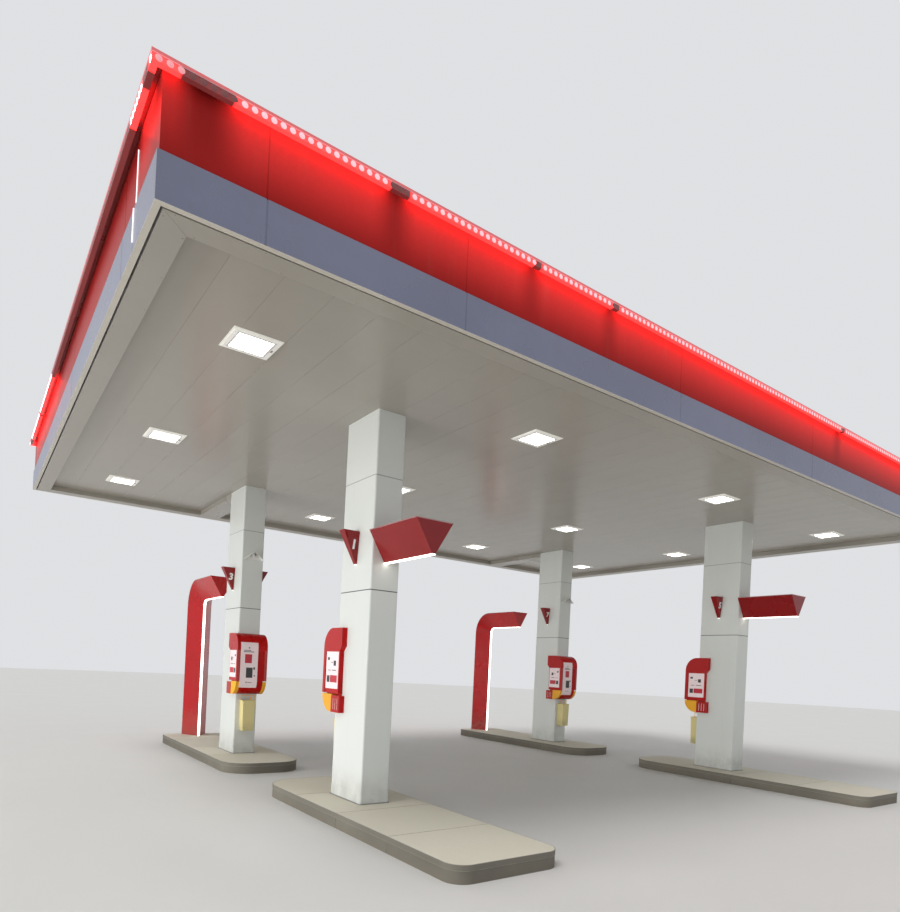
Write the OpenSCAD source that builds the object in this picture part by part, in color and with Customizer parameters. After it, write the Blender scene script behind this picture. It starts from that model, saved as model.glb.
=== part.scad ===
// Flat-roofed forecourt canopy on four clad columns, each standing on its own kerbed island.
// X runs along the long front edge, Y from the front edge to the back, Z up.
// The origin is on the ground under the centre of the roof. All sizes are in millimetres.

/* [Roof outline] */
// Length of the roof over the fascia faces
roof_length = 13350; // [11500:50:16000]
// Depth of the roof over the fascia faces
roof_depth = 9390; // [8600:10:11500]
// Height of the soffit above the ground
soffit_height = 4600; // [3800:10:5600]
// How far the fascia and the edge trim hang below the soffit
fascia_drop = 80; // [60:5:150]
// Height of the lower fascia band
band_height = 315; // [200:5:450]
// Height of the upper fascia panel
red_height = 514; // [350:2:800]
// How far the upper panel stands behind the lower band
red_setback = 15; // [5:1:25]

/* [Fascia] */
// Depth of a folded fascia panel, front to back
panel_depth = 42; // [36:1:80]
// Sheet thickness of the fascia panels
panel_sheet = 4; // [2:0.5:6]
// Height of the lips along the back of a folded panel
panel_lip = 25; // [15:1:40]
// Length of the panel at each corner
corner_panel = 700; // [400:10:1200]
// Length of the panel beside the first corner panel
first_panel = 1696; // [800:2:2600]
// Length of one full fascia panel
panel_length = 2930; // [1500:10:4000]
// Shortest panel that is made
shortest_panel = 300; // [200:10:600]
// Width of the open joint between two fascia panels
panel_gap = 10; // [6:1:16]
// How far the coping stands out from the fascia face
visor_reach = 70; // [55:5:150]
// Height of the coping lips
visor_lip = 18; // [12:1:40]
// Sheet thickness of the coping
visor_sheet = 4; // [2:0.5:6]
// Visible height of the light bar under the coping
light_bar = 50; // [20:1:80]
// Depth of the light bar, front to back
light_bar_depth = 40; // [20:1:50]

/* [Fascia frame] */
// Leg of the steel angles that carry the fascia
frame_leg = 60; // [40:5:90]
// Wall of the steel angles that carry the fascia
frame_wall = 6; // [4:1:10]
// Gap left at the mitres of those angles
frame_gap = 6; // [3:1:10]
// Largest distance between two fascia posts
frame_pitch = 1250; // [800:50:2000]

/* [Soffit] */
// Width of the dark joint between the fascia and the edge trim
trim_joint = 20; // [10:1:40]
// Width of the boxed trim round the soffit
trim_width = 190; // [150:5:300]
// Sheet thickness of the trim and the covers
trim_sheet = 3; // [2:0.5:5]
// Width of the ledge on the trim that carries the pan ends
trim_ledge = 35; // [20:1:60]
// How far the pans reach past that ledge
pan_overhang = 10; // [5:1:20]
// Width of one soffit pan
pan_width = 406; // [300:2:600]
// Sheet thickness of the soffit pans
pan_sheet = 3; // [2:0.5:5]
// Height of the upstands between the pans
pan_rib = 75; // [70:1:110]
// Width of the joint between two pans
pan_joint = 4; // [3:1:12]
// Gap between the hook of one pan and the upstand of the next
pan_play = 1; // [0.5:0.5:2]

/* [Drainage] */
// Gap between the back gutter and the ledge over it
gutter_top_gap = 4; // [2:1:12]
// Sheet thickness of the gutter
gutter_wall = 4; // [2:0.5:6]
// Gap between the gutter and the trim on each side
gutter_gap = 4; // [2:1:10]
// Radius of the downpipes
pipe_radius = 50; // [35:1:60]
// Wall of the downpipes and ducts
pipe_wall = 3; // [2:0.5:6]
// Gap between a duct and the soffit over it
duct_top_gap = 12; // [4:1:20]
// Height of a duct above the bottom of its cover
duct_lift = 10; // [9:1:14]

/* [Roof steel] */
// Depth of the purlins
purlin_depth = 200; // [120:10:260]
// Flange width of the purlins
purlin_width = 100; // [60:5:160]
// Number of purlins
purlin_count = 8; // [6:2:10]
// Web thickness of the purlins
purlin_web = 7; // [5:1:12]
// Flange thickness of the purlins
purlin_flange = 10; // [6:1:16]
// Depth of the two main beams
beam_depth = 358; // [250:2:420]
// Flange width of the main beams
beam_width = 172; // [120:2:260]
// Web thickness of the main beams
beam_web = 9; // [6:1:16]
// Flange thickness of the main beams
beam_flange = 14; // [10:1:22]
// Thickness of the stiffeners over the columns and of the end plates
stiffener = 12; // [8:1:20]

/* [Columns] */
// Distance between the columns along the roof
column_span_x = 7400; // [5800:50:9200]
// Distance between the columns across the roof
column_span_y = 4415; // [3600:5:5600]
// Side of the square steel column
tube_side = 254; // [180:2:280]
// Wall of the steel column
tube_wall = 10; // [6:1:16]
// Thickness of the base and cap plates
plate_thick = 25; // [15:1:40]
// Width of the column cladding along the roof
clad_width = 365; // [320:5:480]
// Depth of the column cladding across the roof
clad_depth = 740; // [640:5:900]
// Wall of the cladding
clad_wall = 6; // [4:1:10]
// Radius of the upright corners of the cladding
clad_corner = 22; // [10:1:40]
// Height of the first cladding joint above the ground
clad_joint_low = 2570; // [2300:10:2800]
// Height of the second cladding joint above the ground
clad_joint_high = 3860; // [3400:10:4100]
// Height of the skirt at the foot of the cladding
skirt_height = 130; // [60:5:200]

/* [Islands] */
// Length of an island
island_length = 4250; // [3400:10:4400]
// Width of an island
island_width = 1200; // [1000:10:1600]
// Height of an island
island_height = 160; // [100:5:220]
// Radius of the island corners at the outer end
island_corner = 180; // [120:5:400]
// Radius of the island corners at the inner end
island_inner_corner = 420; // [200:10:450]
// Distance from a column to the middle of its island
island_shift = 620; // [400:10:900]
// Height of the steel edging round the island top
edging_height = 50; // [20:1:80]
// Thickness of the steel edging
edging_wall = 8; // [5:1:12]
// How far the steel edging stands out from the kerb
edging_out = 3; // [1:1:5]
// Width of the joints cast across an island
kerb_joint = 8; // [4:1:15]
// Depth of the joints cast across an island
kerb_joint_depth = 10; // [5:1:20]

/* [Lights] */
// Side of a square light fitting
lamp_side = 450; // [380:10:600]
// Side of the square lens in a light fitting
lamp_lens = 320; // [240:10:360]
// Height of the frame of a fitting below the soffit
lamp_frame = 14; // [8:1:25]
// Depth of the fitting above the soffit
lamp_depth = 62; // [30:1:68]
// Distance from the side fascias to the outer light rows
lamp_inset_x = 1160; // [900:10:1600]
// Distance from the roof centre to the inner light rows
lamp_x_inner = 1960; // [1400:5:2600]
// Distance from the front and back fascias to the nearest lights
lamp_inset_y = 1600; // [1100:10:2000]
// How far the middle lights stand behind the roof centre
lamp_y_middle = 190; // [-300:5:300]

/* [Signs] */
// Height of the top of the signs above the ground
sign_top = 3235; // [3000:5:3600]
// Height of a sign from its top face to its lower edge
sign_drop = 355; // [250:5:450]
// Width of a sign along its top face
sign_width = 460; // [350:5:600]
// Width of the lit lower edge
sign_edge = 44; // [30:1:80]
// Height of the lens along the lower edge
sign_lens = 10; // [6:1:20]
// Length of a wedge sign in front of its column
sign_length = 960; // [700:10:1200]
// Height of the top of a number flag above the ground
flag_top = 3262; // [3000:2:3600]
// Height of a number flag
flag_drop = 375; // [250:5:450]
// How far a number flag stands out from the column at its top
flag_reach = 205; // [150:5:350]
// Thickness of a number flag at its top
flag_thick = 120; // [80:5:180]
// How far the lower end of a number flag stands out
flag_tip_reach = 20; // [10:1:60]
// Thickness of the lower end of a number flag
flag_tip_thick = 45; // [20:5:80]

/* [Arches] */
// Distance from the roof centre line to the free end of an arch
arch_start = 3380; // [3100:10:3600]
// Distance from the roof centre line to the outer face of an arch
arch_end = 4870; // [4600:10:4940]
// Radius of the outer corner of an arch
arch_bend = 500; // [420:10:700]
// Depth of the arch section
arch_depth = 375; // [250:5:400]

/* [Service units] */
// How far a service unit reaches past each side of its column
unit_side = 68; // [50:1:120]
// Thickness of the rim at each end of a unit
unit_rim = 10; // [6:1:20]
// Width of that rim in side view
unit_rim_band = 55; // [30:1:80]
// How far the rim and the cap stand proud of the body
unit_rim_out = 8; // [3:1:15]
// Height of the bottom of a service unit above the ground
unit_bottom = 1150; // [950:5:1250]
// Height of a service unit
unit_height = 995; // [800:5:1150]
// How far a service unit stands out from its column
unit_reach = 218; // [210:2:300]
// Radius of the rounded front of a service unit
unit_round = 222; // [150:2:230]
// How far a service unit reaches back along its column
unit_wrap = 180; // [120:5:300]
// Height of the cap over the top of a unit
unit_cap = 270; // [150:5:300]
// How far the cap and the towel holders reach back past the unit
unit_cap_back = 60; // [30:5:80]
// Thickness of the plate between the column and a pocket
unit_plate = 8; // [5:1:12]
// Height of a pocket
pocket_height = 210; // [150:5:260]
// Open height between a pocket and the unit over it
pocket_gap = 12; // [8:1:20]
// How far a pocket reaches back along its column
pocket_back = 35; // [30:1:60]
// Height of a towel holder
holder_height = 200; // [140:5:205]
// How far a towel holder stands out past the end of the unit
holder_out = 4; // [2:1:8]
// Wall of the pockets and of the washing buckets
tub_wall = 4; // [3:0.5:6]
// Width of a washing bucket at its top
bucket_width = 200; // [160:5:320]
// Depth of a washing bucket at its top
bucket_depth = 170; // [140:5:200]
// Height of a washing bucket
bucket_height = 500; // [350:10:560]
// How much narrower a bucket is at its bottom
bucket_taper = 20; // [10:1:60]
// Gap between a bucket and the service unit over it
bucket_gap = 100; // [60:5:120]

/* [Cameras] */
// Height of the camera above the ground
camera_height = 3460; // [3350:10:3750]
// Diameter of the camera
camera_body = 70; // [50:2:80]
// How far the camera hood stands out from the column
camera_reach = 110; // [80:5:160]
// Width of the camera hood
camera_hood = 300; // [260:5:340]
// Height of the camera hood from its ridge to its lower edges
camera_hood_drop = 120; // [100:5:150]

/* [Hidden] */
$fn = 48;

fascia_bottom = soffit_height - fascia_drop;
red_bottom = fascia_bottom + band_height;
red_top = red_bottom + red_height;
visor_seat = red_top + visor_lip - visor_sheet;
purlin_bottom = soffit_height + pan_rib + pan_play + pan_sheet;
beam_bottom = purlin_bottom + purlin_depth;
column_x = column_span_x / 2;
column_y = column_span_y / 2;
// Side of the roof and side of the centre line for columns 1 to 4
SIDES = [[-1, -1], [1, -1], [-1, 1], [1, 1]];
// Distances from the fascia face inwards
trim_start = panel_depth + trim_joint;
trim_end = trim_start + trim_width;
pan_edge = trim_end - trim_ledge - pan_overhang;
frame_end = panel_depth + frame_leg;
gutter_start = trim_start + trim_sheet + gutter_gap;
gutter_end = trim_end - trim_sheet - gutter_gap;
gutter_y = (roof_depth - gutter_start - gutter_end) / 2;
purlin_end_y = roof_depth / 2 - trim_end - purlin_width / 2 - 20;
purlin_half_x = roof_length / 2 - frame_end;
beam_half_y = roof_depth / 2 - frame_end;
pipe_offset = tube_side / 2 + pipe_radius + 20;
gutter_height = fascia_drop - 2 * trim_sheet - gutter_top_gap;
duct_height = fascia_drop - duct_lift - duct_top_gap;
duct_bottom = fascia_bottom + duct_lift;
duct_length = gutter_y - (gutter_end - gutter_start) / 2 + gutter_wall - column_y - pipe_offset;
face = clad_depth / 2;
unit_half = clad_width / 2 + unit_side;
cap_bottom = unit_height - unit_cap;
notch_top = pocket_height + pocket_gap;

// A flat outline with round corners, kept as true arcs
module round_rect(w, d, r) {
    square([w - 2 * r, d], center = true);
    square([w, d - 2 * r], center = true);
    for (x = [-1, 1], y = [-1, 1])
        translate([x * (w / 2 - r), y * (d / 2 - r)]) circle(r);
}

// A box whose middle is at x = y = 0 and whose underside is at z = 0
module block(w, d, h) {
    translate([-w / 2, -d / 2, 0]) cube([w, d, h]);
}

// Places children at column n, turned so that +Y points away from the roof centre
module at_column(n) {
    translate([SIDES[n - 1][0] * column_x, SIDES[n - 1][1] * column_y, 0])
        mirror([0, SIDES[n - 1][1] < 0 ? 1 : 0, 0]) children();
}

// A rectangle in plan, inset from the fascia faces, w wide all the way round
module ring(inset, w) {
    difference() {
        square([roof_length - 2 * inset, roof_depth - 2 * inset], center = true);
        square([roof_length - 2 * inset - 2 * w, roof_depth - 2 * inset - 2 * w], center = true);
    }
}

// Island outline, grown outwards all round, with its outer end towards +Y
module island_plan(grow) {
    w = island_width + 2 * grow;
    l = island_length + 2 * grow;
    outer = island_corner + grow;
    inner = island_inner_corner + grow;
    translate([-w / 2, inner - l / 2]) square([w, l - inner - outer]);
    translate([inner - w / 2, -l / 2]) square([w - 2 * inner, inner]);
    translate([outer - w / 2, l / 2 - outer]) square([w - 2 * outer, outer]);
    for (x = [-1, 1]) {
        translate([x * (w / 2 - inner), inner - l / 2]) circle(inner);
        translate([x * (w / 2 - outer), l / 2 - outer]) circle(outer);
    }
}

module island(n) {
    color("darkkhaki") at_column(n) translate([0, island_shift, 0]) difference() {
        union() {
            linear_extrude(island_height - edging_height) island_plan(0);
            linear_extrude(island_height) island_plan(edging_out - edging_wall);
        }
        for (i = [-1:1]) translate([0, i * island_length / 4, 0]) {
            translate([0, 0, island_height - kerb_joint_depth])
                block(island_width, kerb_joint, kerb_joint_depth + 1);
            for (x = [-1, 1]) translate([x * island_width / 2, 0, -1])
                block(2 * kerb_joint_depth, kerb_joint, island_height + 2);
        }
    }
}

module island_edging() {
    color("silver") for (n = [1:4]) at_column(n)
        translate([0, island_shift, island_height - edging_height]) linear_extrude(edging_height)
            difference() {
                island_plan(edging_out);
                island_plan(edging_out - edging_wall);
            }
}

module column(n) {
    plate_side = tube_side + 70;
    color("lightslategray") at_column(n) {
        translate([0, 0, island_height]) block(plate_side, plate_side, plate_thick);
        translate([0, 0, island_height + plate_thick]) difference() {
            block(tube_side, tube_side, beam_bottom - island_height - 2 * plate_thick);
            translate([0, 0, -1])
                block(tube_side - 2 * tube_wall, tube_side - 2 * tube_wall, beam_bottom);
        }
        translate([0, 0, beam_bottom - plate_thick]) block(tube_side, tube_side, plate_thick);
    }
}

module cladding(n) {
    skirt_out = 5;
    joint_height = 10;
    joint_depth = 3;
    color("gainsboro") at_column(n) translate([0, 0, island_height]) difference() {
        union() {
            linear_extrude(soffit_height - island_height) round_rect(clad_width, clad_depth, clad_corner);
            linear_extrude(skirt_height)
                round_rect(clad_width + 2 * skirt_out, clad_depth + 2 * skirt_out, clad_corner + skirt_out);
        }
        translate([0, 0, -1]) linear_extrude(soffit_height)
            round_rect(clad_width - 2 * clad_wall, clad_depth - 2 * clad_wall, clad_corner - clad_wall);
        for (z = [clad_joint_low, clad_joint_high]) translate([0, 0, z - island_height]) difference() {
            block(clad_width + 2, clad_depth + 2, joint_height);
            translate([0, 0, -1]) linear_extrude(joint_height + 2)
                round_rect(clad_width - 2 * joint_depth, clad_depth - 2 * joint_depth, clad_corner - joint_depth);
        }
        if (n > 2) translate([0, face, duct_bottom - island_height - 1])
            block(2 * pipe_radius + 2, 3 * clad_wall, duct_height + 2);
    }
}

// Upright I section: h high, w wide, web t, flanges f
module i_section(h, w, t, f) {
    translate([-w / 2, 0]) square([w, f]);
    translate([-w / 2, h - f]) square([w, f]);
    translate([-t / 2, 0]) square([t, h]);
}

// A main beam with end plates, and with stiffeners over both faces of each column
module main_beam(side) {
    stiffener_y = tube_side / 2 - stiffener / 2;
    color("slategray") translate([side * column_x, 0, beam_bottom]) {
        translate([0, beam_half_y, 0]) rotate([90, 0, 0])
            linear_extrude(2 * beam_half_y) i_section(beam_depth, beam_width, beam_web, beam_flange);
        for (y = [-1, 1]) translate([0, y * (beam_half_y - stiffener / 2), 0])
            block(beam_width, stiffener, beam_depth);
        for (y = [-1, 1], d = [-1, 1]) translate([0, y * column_y + d * stiffener_y, beam_flange])
            block(beam_width - 10, stiffener, beam_depth - 2 * beam_flange);
    }
}

function purlin_y(i) = -purlin_end_y + i * 2 * purlin_end_y / (purlin_count - 1);

module purlins() {
    color("lightsteelblue") for (i = [0:purlin_count - 1])
        translate([-purlin_half_x, purlin_y(i), purlin_bottom]) rotate([90, 0, 90])
            linear_extrude(2 * purlin_half_x)
                i_section(purlin_depth, purlin_width, purlin_web, purlin_flange);
}

// Section of one folded pan: its left upstand ends in a hook that laps over the upstand of the pan before
module pan_section() {
    side = pan_joint / 2;
    hook = 2 * side + 2 * pan_sheet + pan_play;
    translate([side, 0]) square([pan_width - 2 * side, pan_sheet]);
    translate([side, 0]) square([pan_sheet, pan_rib + pan_play + pan_sheet]);
    translate([pan_width - side - pan_sheet, 0]) square([pan_sheet, pan_rib]);
    translate([side + pan_sheet - hook - pan_sheet, pan_rib + pan_play]) square([hook + pan_sheet, pan_sheet]);
    translate([side + pan_sheet - hook - pan_sheet, pan_rib - 12]) square([pan_sheet, 12 + pan_play + pan_sheet]);
}

// Pans lie side by side from the roof centre outwards, and the last ones are cut to the edge trim
module soffit_pans() {
    half_x = roof_length / 2 - pan_edge;
    half_y = roof_depth / 2 - pan_edge;
    count = ceil(half_x / pan_width);
    color("antiquewhite") difference() {
        translate([0, half_y, soffit_height]) rotate([90, 0, 0]) linear_extrude(2 * half_y) intersection() {
            for (i = [-count:count - 1]) translate([i * pan_width, 0]) pan_section();
            translate([-half_x, 0]) square([2 * half_x, pan_rib + pan_play + pan_sheet]);
        }
        lamp_places() translate([0, 0, -1]) block(lamp_side - 20, lamp_side - 20, pan_rib + 10);
        for (n = [1:4]) at_column(n) translate([0, 0, soffit_height - 1])
            block(tube_side + 4, tube_side + 4, pan_rib + 10);
    }
}

module lamp_places() {
    outer_x = roof_length / 2 - lamp_inset_x;
    outer_y = roof_depth / 2 - lamp_inset_y;
    for (x = [-outer_x, -lamp_x_inner, lamp_x_inner, outer_x], y = [-outer_y, lamp_y_middle, outer_y])
        translate([x, y, soffit_height]) children();
}

// Light fittings: a stepped frame under the soffit and a housing over it, open below for the lens
module luminaires() {
    color("whitesmoke") lamp_places() difference() {
        union() {
            translate([0, 0, -lamp_frame / 2]) block(lamp_side, lamp_side, lamp_frame / 2);
            translate([0, 0, -lamp_frame]) block(lamp_side - 30, lamp_side - 30, lamp_frame / 2);
            block(lamp_side - 22, lamp_side - 22, lamp_depth);
        }
        translate([0, 0, -lamp_frame - 1]) block(lamp_lens + 2, lamp_lens + 2, lamp_frame + lamp_depth - 4);
    }
}

module lamp_lenses() {
    color("white") lamp_places() translate([0, 0, 4 - lamp_frame])
        block(lamp_lens, lamp_lens, lamp_depth + lamp_frame - 9);
}

// Plan of one side of a mitred frame: its outer face is at y = 0, width w, outer length l
module mitred_side(l, w) {
    polygon([[-l / 2, 0], [l / 2, 0], [l / 2 - w, w], [-l / 2 + w, w]]);
}

// Turns children drawn for the front edge to side k: 0 front, 1 right, 2 back, 3 left
module to_side(k, out = 0) {
    reach = (k % 2 == 0 ? roof_depth : roof_length) / 2 - out;
    rotate([0, 0, 90 * k]) translate([0, -reach, 0]) children();
}
function side_length(k) = k % 2 == 0 ? roof_length : roof_depth;

// A sheet angle under the fascia, and inside it a boxed trim that steps up to the soffit.
// Fine grooves mark the mitres, and the back side lets the ducts through.
module soffit_trim() {
    mitre = 2;
    color("ivory") {
        translate([0, 0, fascia_bottom]) {
            linear_extrude(trim_sheet) ring(0, panel_depth + trim_sheet);
            linear_extrude(fascia_drop / 2) ring(panel_depth, trim_sheet);
        }
        difference() {
            translate([0, 0, fascia_bottom]) {
                linear_extrude(trim_sheet) ring(trim_start, trim_width);
                linear_extrude(fascia_drop) ring(trim_start, trim_sheet);
                linear_extrude(fascia_drop) ring(trim_end - trim_sheet, trim_sheet);
                translate([0, 0, fascia_drop - trim_sheet])
                    linear_extrude(trim_sheet) ring(trim_end - trim_ledge, trim_ledge);
            }
            for (x = [-1, 1], y = [-1, 1])
                translate([x * (roof_length / 2 - trim_end), y * (roof_depth / 2 - trim_end), fascia_bottom - 1])
                    rotate([0, 0, 45 * x * y])
                        block(3 * trim_width, mitre, 1 + trim_sheet / 2);
            for (n = [3, 4]) at_column(n)
                translate([0, roof_depth / 2 - trim_end - column_y, duct_bottom - 1])
                    block(2 * pipe_radius + 2, 3 * trim_sheet, duct_height + 2);
        }
    }
}

// Joints along side k, counted from its left end as seen from outside
function joints(k) =
    let (half = side_length(k) / 2, start = corner_panel + first_panel - half,
         last = half - corner_panel)
    concat([corner_panel - half, last], [for (x = [start:panel_length:last - shortest_panel]) x]);

// Folded fascia panels along side k: face sheet in front, returns above and below, lips along the back
module folded_panels(k, setback, z, h) {
    length = side_length(k) - 2 * setback;
    depth = panel_depth - setback;
    translate([0, 0, z]) to_side(k, setback) difference() {
        linear_extrude(h) mitred_side(length, depth);
        translate([-length, panel_sheet, panel_sheet])
            cube([2 * length, depth - 2 * panel_sheet, h - 2 * panel_sheet]);
        translate([-length, panel_sheet, panel_lip]) cube([2 * length, depth, h - 2 * panel_lip]);
        for (x = joints(k)) translate([x, depth / 2, -1]) block(panel_gap, depth + 2, h + 2);
    }
}

module lower_band(k) {
    color("slategray") folded_panels(k, 0, fascia_bottom + trim_sheet, band_height - trim_sheet);
}

module red_fascia(k) {
    color("red") folded_panels(k, red_setback, red_bottom, red_height);
}

// Folded coping over the fascia, standing out as a visor
module light_visor() {
    cover = visor_reach + frame_end;
    color("firebrick") translate([0, 0, red_top]) {
        linear_extrude(visor_lip) ring(-visor_reach, visor_sheet);
        translate([0, 0, visor_lip - visor_sheet]) linear_extrude(visor_sheet) ring(-visor_reach, cover);
        linear_extrude(visor_lip) ring(frame_end, visor_sheet);
    }
}

// Light bar behind the front lip of the coping
module light_bar_ring() {
    color("mistyrose") translate([0, 0, red_top - light_bar])
        linear_extrude(visor_seat - red_top + light_bar) ring(visor_sheet - visor_reach, light_bar_depth);
}

// Steel angle along side k with mitred ends, its flat leg inwards and its upright leg along the fascia
module frame_angle(k) {
    length = side_length(k) - 2 * panel_depth - frame_gap;
    linear_extrude(frame_wall) mitred_side(length, frame_leg);
    linear_extrude(frame_leg) mitred_side(length, frame_wall);
}

// Two frames of steel angle behind the fascia, one level with the soffit and one upside down under the coping
module fascia_frame() {
    color("dimgray") for (k = [0:3]) to_side(k, panel_depth) {
        translate([0, 0, soffit_height]) frame_angle(k);
        translate([0, 0, visor_seat]) mirror([0, 0, 1]) frame_angle(k);
    }
}

// Angle post fitted between the two frames: one leg along the fascia and one leg inwards
module fascia_post() {
    height = visor_seat - soffit_height;
    translate([0, 0, frame_leg]) cube([frame_leg, frame_wall, height - 2 * frame_leg]);
    translate([0, frame_wall, frame_wall]) cube([frame_wall, frame_leg - frame_wall, height - 2 * frame_wall]);
}

// At the sides the posts stand at the purlin ends, and at the front and back each has an arm from the nearest purlin
module fascia_posts() {
    posts = ceil((roof_length - 2 * frame_end) / frame_pitch);
    pitch = (roof_length - 2 * (frame_end + frame_leg)) / posts;
    arm = roof_depth / 2 - panel_depth - purlin_end_y;
    color("gray") {
        for (k = [0, 2]) to_side(k, panel_depth) for (i = [0:posts])
            translate([(i - posts / 2) * pitch - frame_wall / 2, 0, 0]) {
                translate([0, 0, soffit_height]) fascia_post();
                translate([0, 0, beam_bottom]) {
                    cube([frame_wall, arm, frame_leg]);
                    cube([frame_leg, arm, frame_wall]);
                }
            }
        for (k = [1, 3]) to_side(k, panel_depth) for (i = [0:purlin_count - 1])
            translate([purlin_y(i) - frame_wall / 2, 0, soffit_height]) fascia_post();
    }
}

// Trough inside the back trim, with a slot in its inner side for each duct
module gutter_back() {
    width = gutter_end - gutter_start;
    half_x = roof_length / 2 - gutter_start;
    color("silver") difference() {
        translate([0, gutter_y, fascia_bottom + trim_sheet]) difference() {
            block(2 * half_x, width, gutter_height);
            translate([0, 0, gutter_wall]) block(2 * (half_x - gutter_wall), width - 2 * gutter_wall, gutter_height);
        }
        for (n = [3, 4]) at_column(n)
            translate([0, pipe_offset + duct_length - gutter_wall / 2, duct_bottom - 0.5])
                block(2 * pipe_radius + 1, 2 * gutter_wall, duct_height + 1);
    }
}

// Sheet channels under the soffit that hide the ducts between the back trim and the columns
module drain_covers() {
    length = roof_depth / 2 - trim_end - column_y - face;
    color("ivory") for (n = [3, 4]) at_column(n) translate([0, face + length / 2, fascia_bottom]) difference() {
        block(clad_width, length, fascia_drop);
        translate([0, 0, trim_sheet]) block(clad_width - 2 * trim_sheet, length + 2, fascia_drop);
    }
}

// From the back gutter a flat duct runs to each back column, and a pipe down inside its cladding
module downpipes() {
    duct_top = duct_bottom + duct_height;
    bore = pipe_radius - pipe_wall;
    color("gainsboro") for (n = [3, 4]) at_column(n) translate([0, pipe_offset, 0]) difference() {
        union() {
            translate([0, 0, island_height]) cylinder(r = pipe_radius, h = duct_top - island_height);
            translate([0, duct_length / 2, duct_bottom]) block(2 * pipe_radius, duct_length, duct_height);
        }
        translate([0, 0, island_height - 1]) cylinder(r = bore, h = duct_top - island_height + 1 - pipe_wall);
        translate([0, (duct_length + 2) / 2, duct_bottom + pipe_wall])
            block(2 * bore, duct_length + 2, duct_height - 2 * pipe_wall);
    }
}

// End view of a wedge sign: wide top, and a narrow lens along the lower edge
module wedge_section(w, drop, edge) {
    body = drop - sign_lens;
    lens = edge / 2 - 4;
    polygon([[-w / 2, 0], [w / 2, 0], [edge / 2, -body], [lens, -body],
             [lens, -drop], [-lens, -drop], [-lens, -body], [-edge / 2, -body]]);
}

module wedge_sign(n) {
    color("firebrick") at_column(n) translate([0, face + sign_length, sign_top])
        rotate([90, 0, 0]) linear_extrude(sign_length) wedge_section(sign_width, sign_drop, sign_edge);
}

// Flags on both lane sides of a column, each an upturned wedge that narrows downwards in both views
module number_flags(n) {
    color("firebrick") at_column(n) for (s = [0, 1]) mirror([s, 0, 0])
        translate([clad_width / 2, 0, flag_top]) intersection() {
            translate([0, flag_thick / 2, 0]) rotate([90, 0, 0]) linear_extrude(flag_thick)
                polygon([[0, 0], [flag_reach, 0], [flag_tip_reach, -flag_drop], [0, -flag_drop]]);
            rotate([90, 0, 90]) linear_extrude(flag_reach)
                polygon([[-flag_thick / 2, 0], [flag_thick / 2, 0],
                         [flag_tip_thick / 2, -flag_drop], [-flag_tip_thick / 2, -flag_drop]]);
        }
}

// The wedge section runs level under the roof, turns down in a bend and stands on the island
module arch(n) {
    arm = arch_end - arch_bend - arch_start;
    color("crimson") translate([SIDES[n - 1][0] * column_x, 0, 0]) {
        translate([0, arch_start + arm, sign_top]) rotate([90, 0, 0]) linear_extrude(arm)
            wedge_section(sign_width, arch_depth, sign_edge);
        translate([0, arch_end - arch_bend, sign_top - arch_bend]) rotate([0, -90, 0])
            rotate_extrude(angle = 90) translate([arch_bend, 0]) rotate([0, 0, 90]) mirror([0, 1])
                wedge_section(sign_width, arch_depth, sign_edge);
        translate([0, arch_end, island_height]) linear_extrude(sign_top - arch_bend - island_height)
            wedge_section(sign_width, arch_depth, sign_edge);
    }
}

// Extrudes a side view from the right end towards the left: x of the view runs away from the column face
module across(right, width) {
    translate([right, 0, 0]) rotate([90, 0, -90]) linear_extrude(width) children();
}

// Side view of a unit, grown by grow: flat back, behind the column face by back, and a rounded front
module unit_outline(back, grow) {
    front = unit_reach + grow;
    h = unit_height + 2 * grow;
    r = unit_round + grow;
    translate([0, -grow]) intersection() {
        translate([-back, 0]) square([back + front, h]);
        union() {
            translate([-back, 0]) square([back + front - r, h]);
            translate([-back, r]) square([back + front, h - 2 * r]);
            for (z = [r, h - r]) translate([front - r, z]) circle(r);
        }
    }
}

// Side view of the rim: a band along the front, from the pocket up to the cap
module unit_rim_section() {
    intersection() {
        difference() {
            unit_outline(unit_wrap, unit_rim_out);
            unit_outline(unit_wrap, unit_rim_out - unit_rim_band);
        }
        translate([0, notch_top]) square([unit_reach + unit_rim_out, cap_bottom - notch_top]);
    }
}

// Side view of the cap: its lower back corner slants up to where it reaches past the body
module unit_cap_section() {
    front = unit_reach + unit_rim_out;
    back = unit_wrap + unit_cap_back;
    top = unit_height + unit_rim_out;
    intersection() {
        unit_outline(back, unit_rim_out);
        polygon([[-back, top], [-back, cap_bottom + unit_cap_back], [-unit_wrap, cap_bottom],
                 [front, cap_bottom], [front, top]]);
    }
}

// Places children at the column face of unit n, level with its bottom
module at_unit(n) {
    at_column(n) translate([0, -face, unit_bottom]) children();
}

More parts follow.
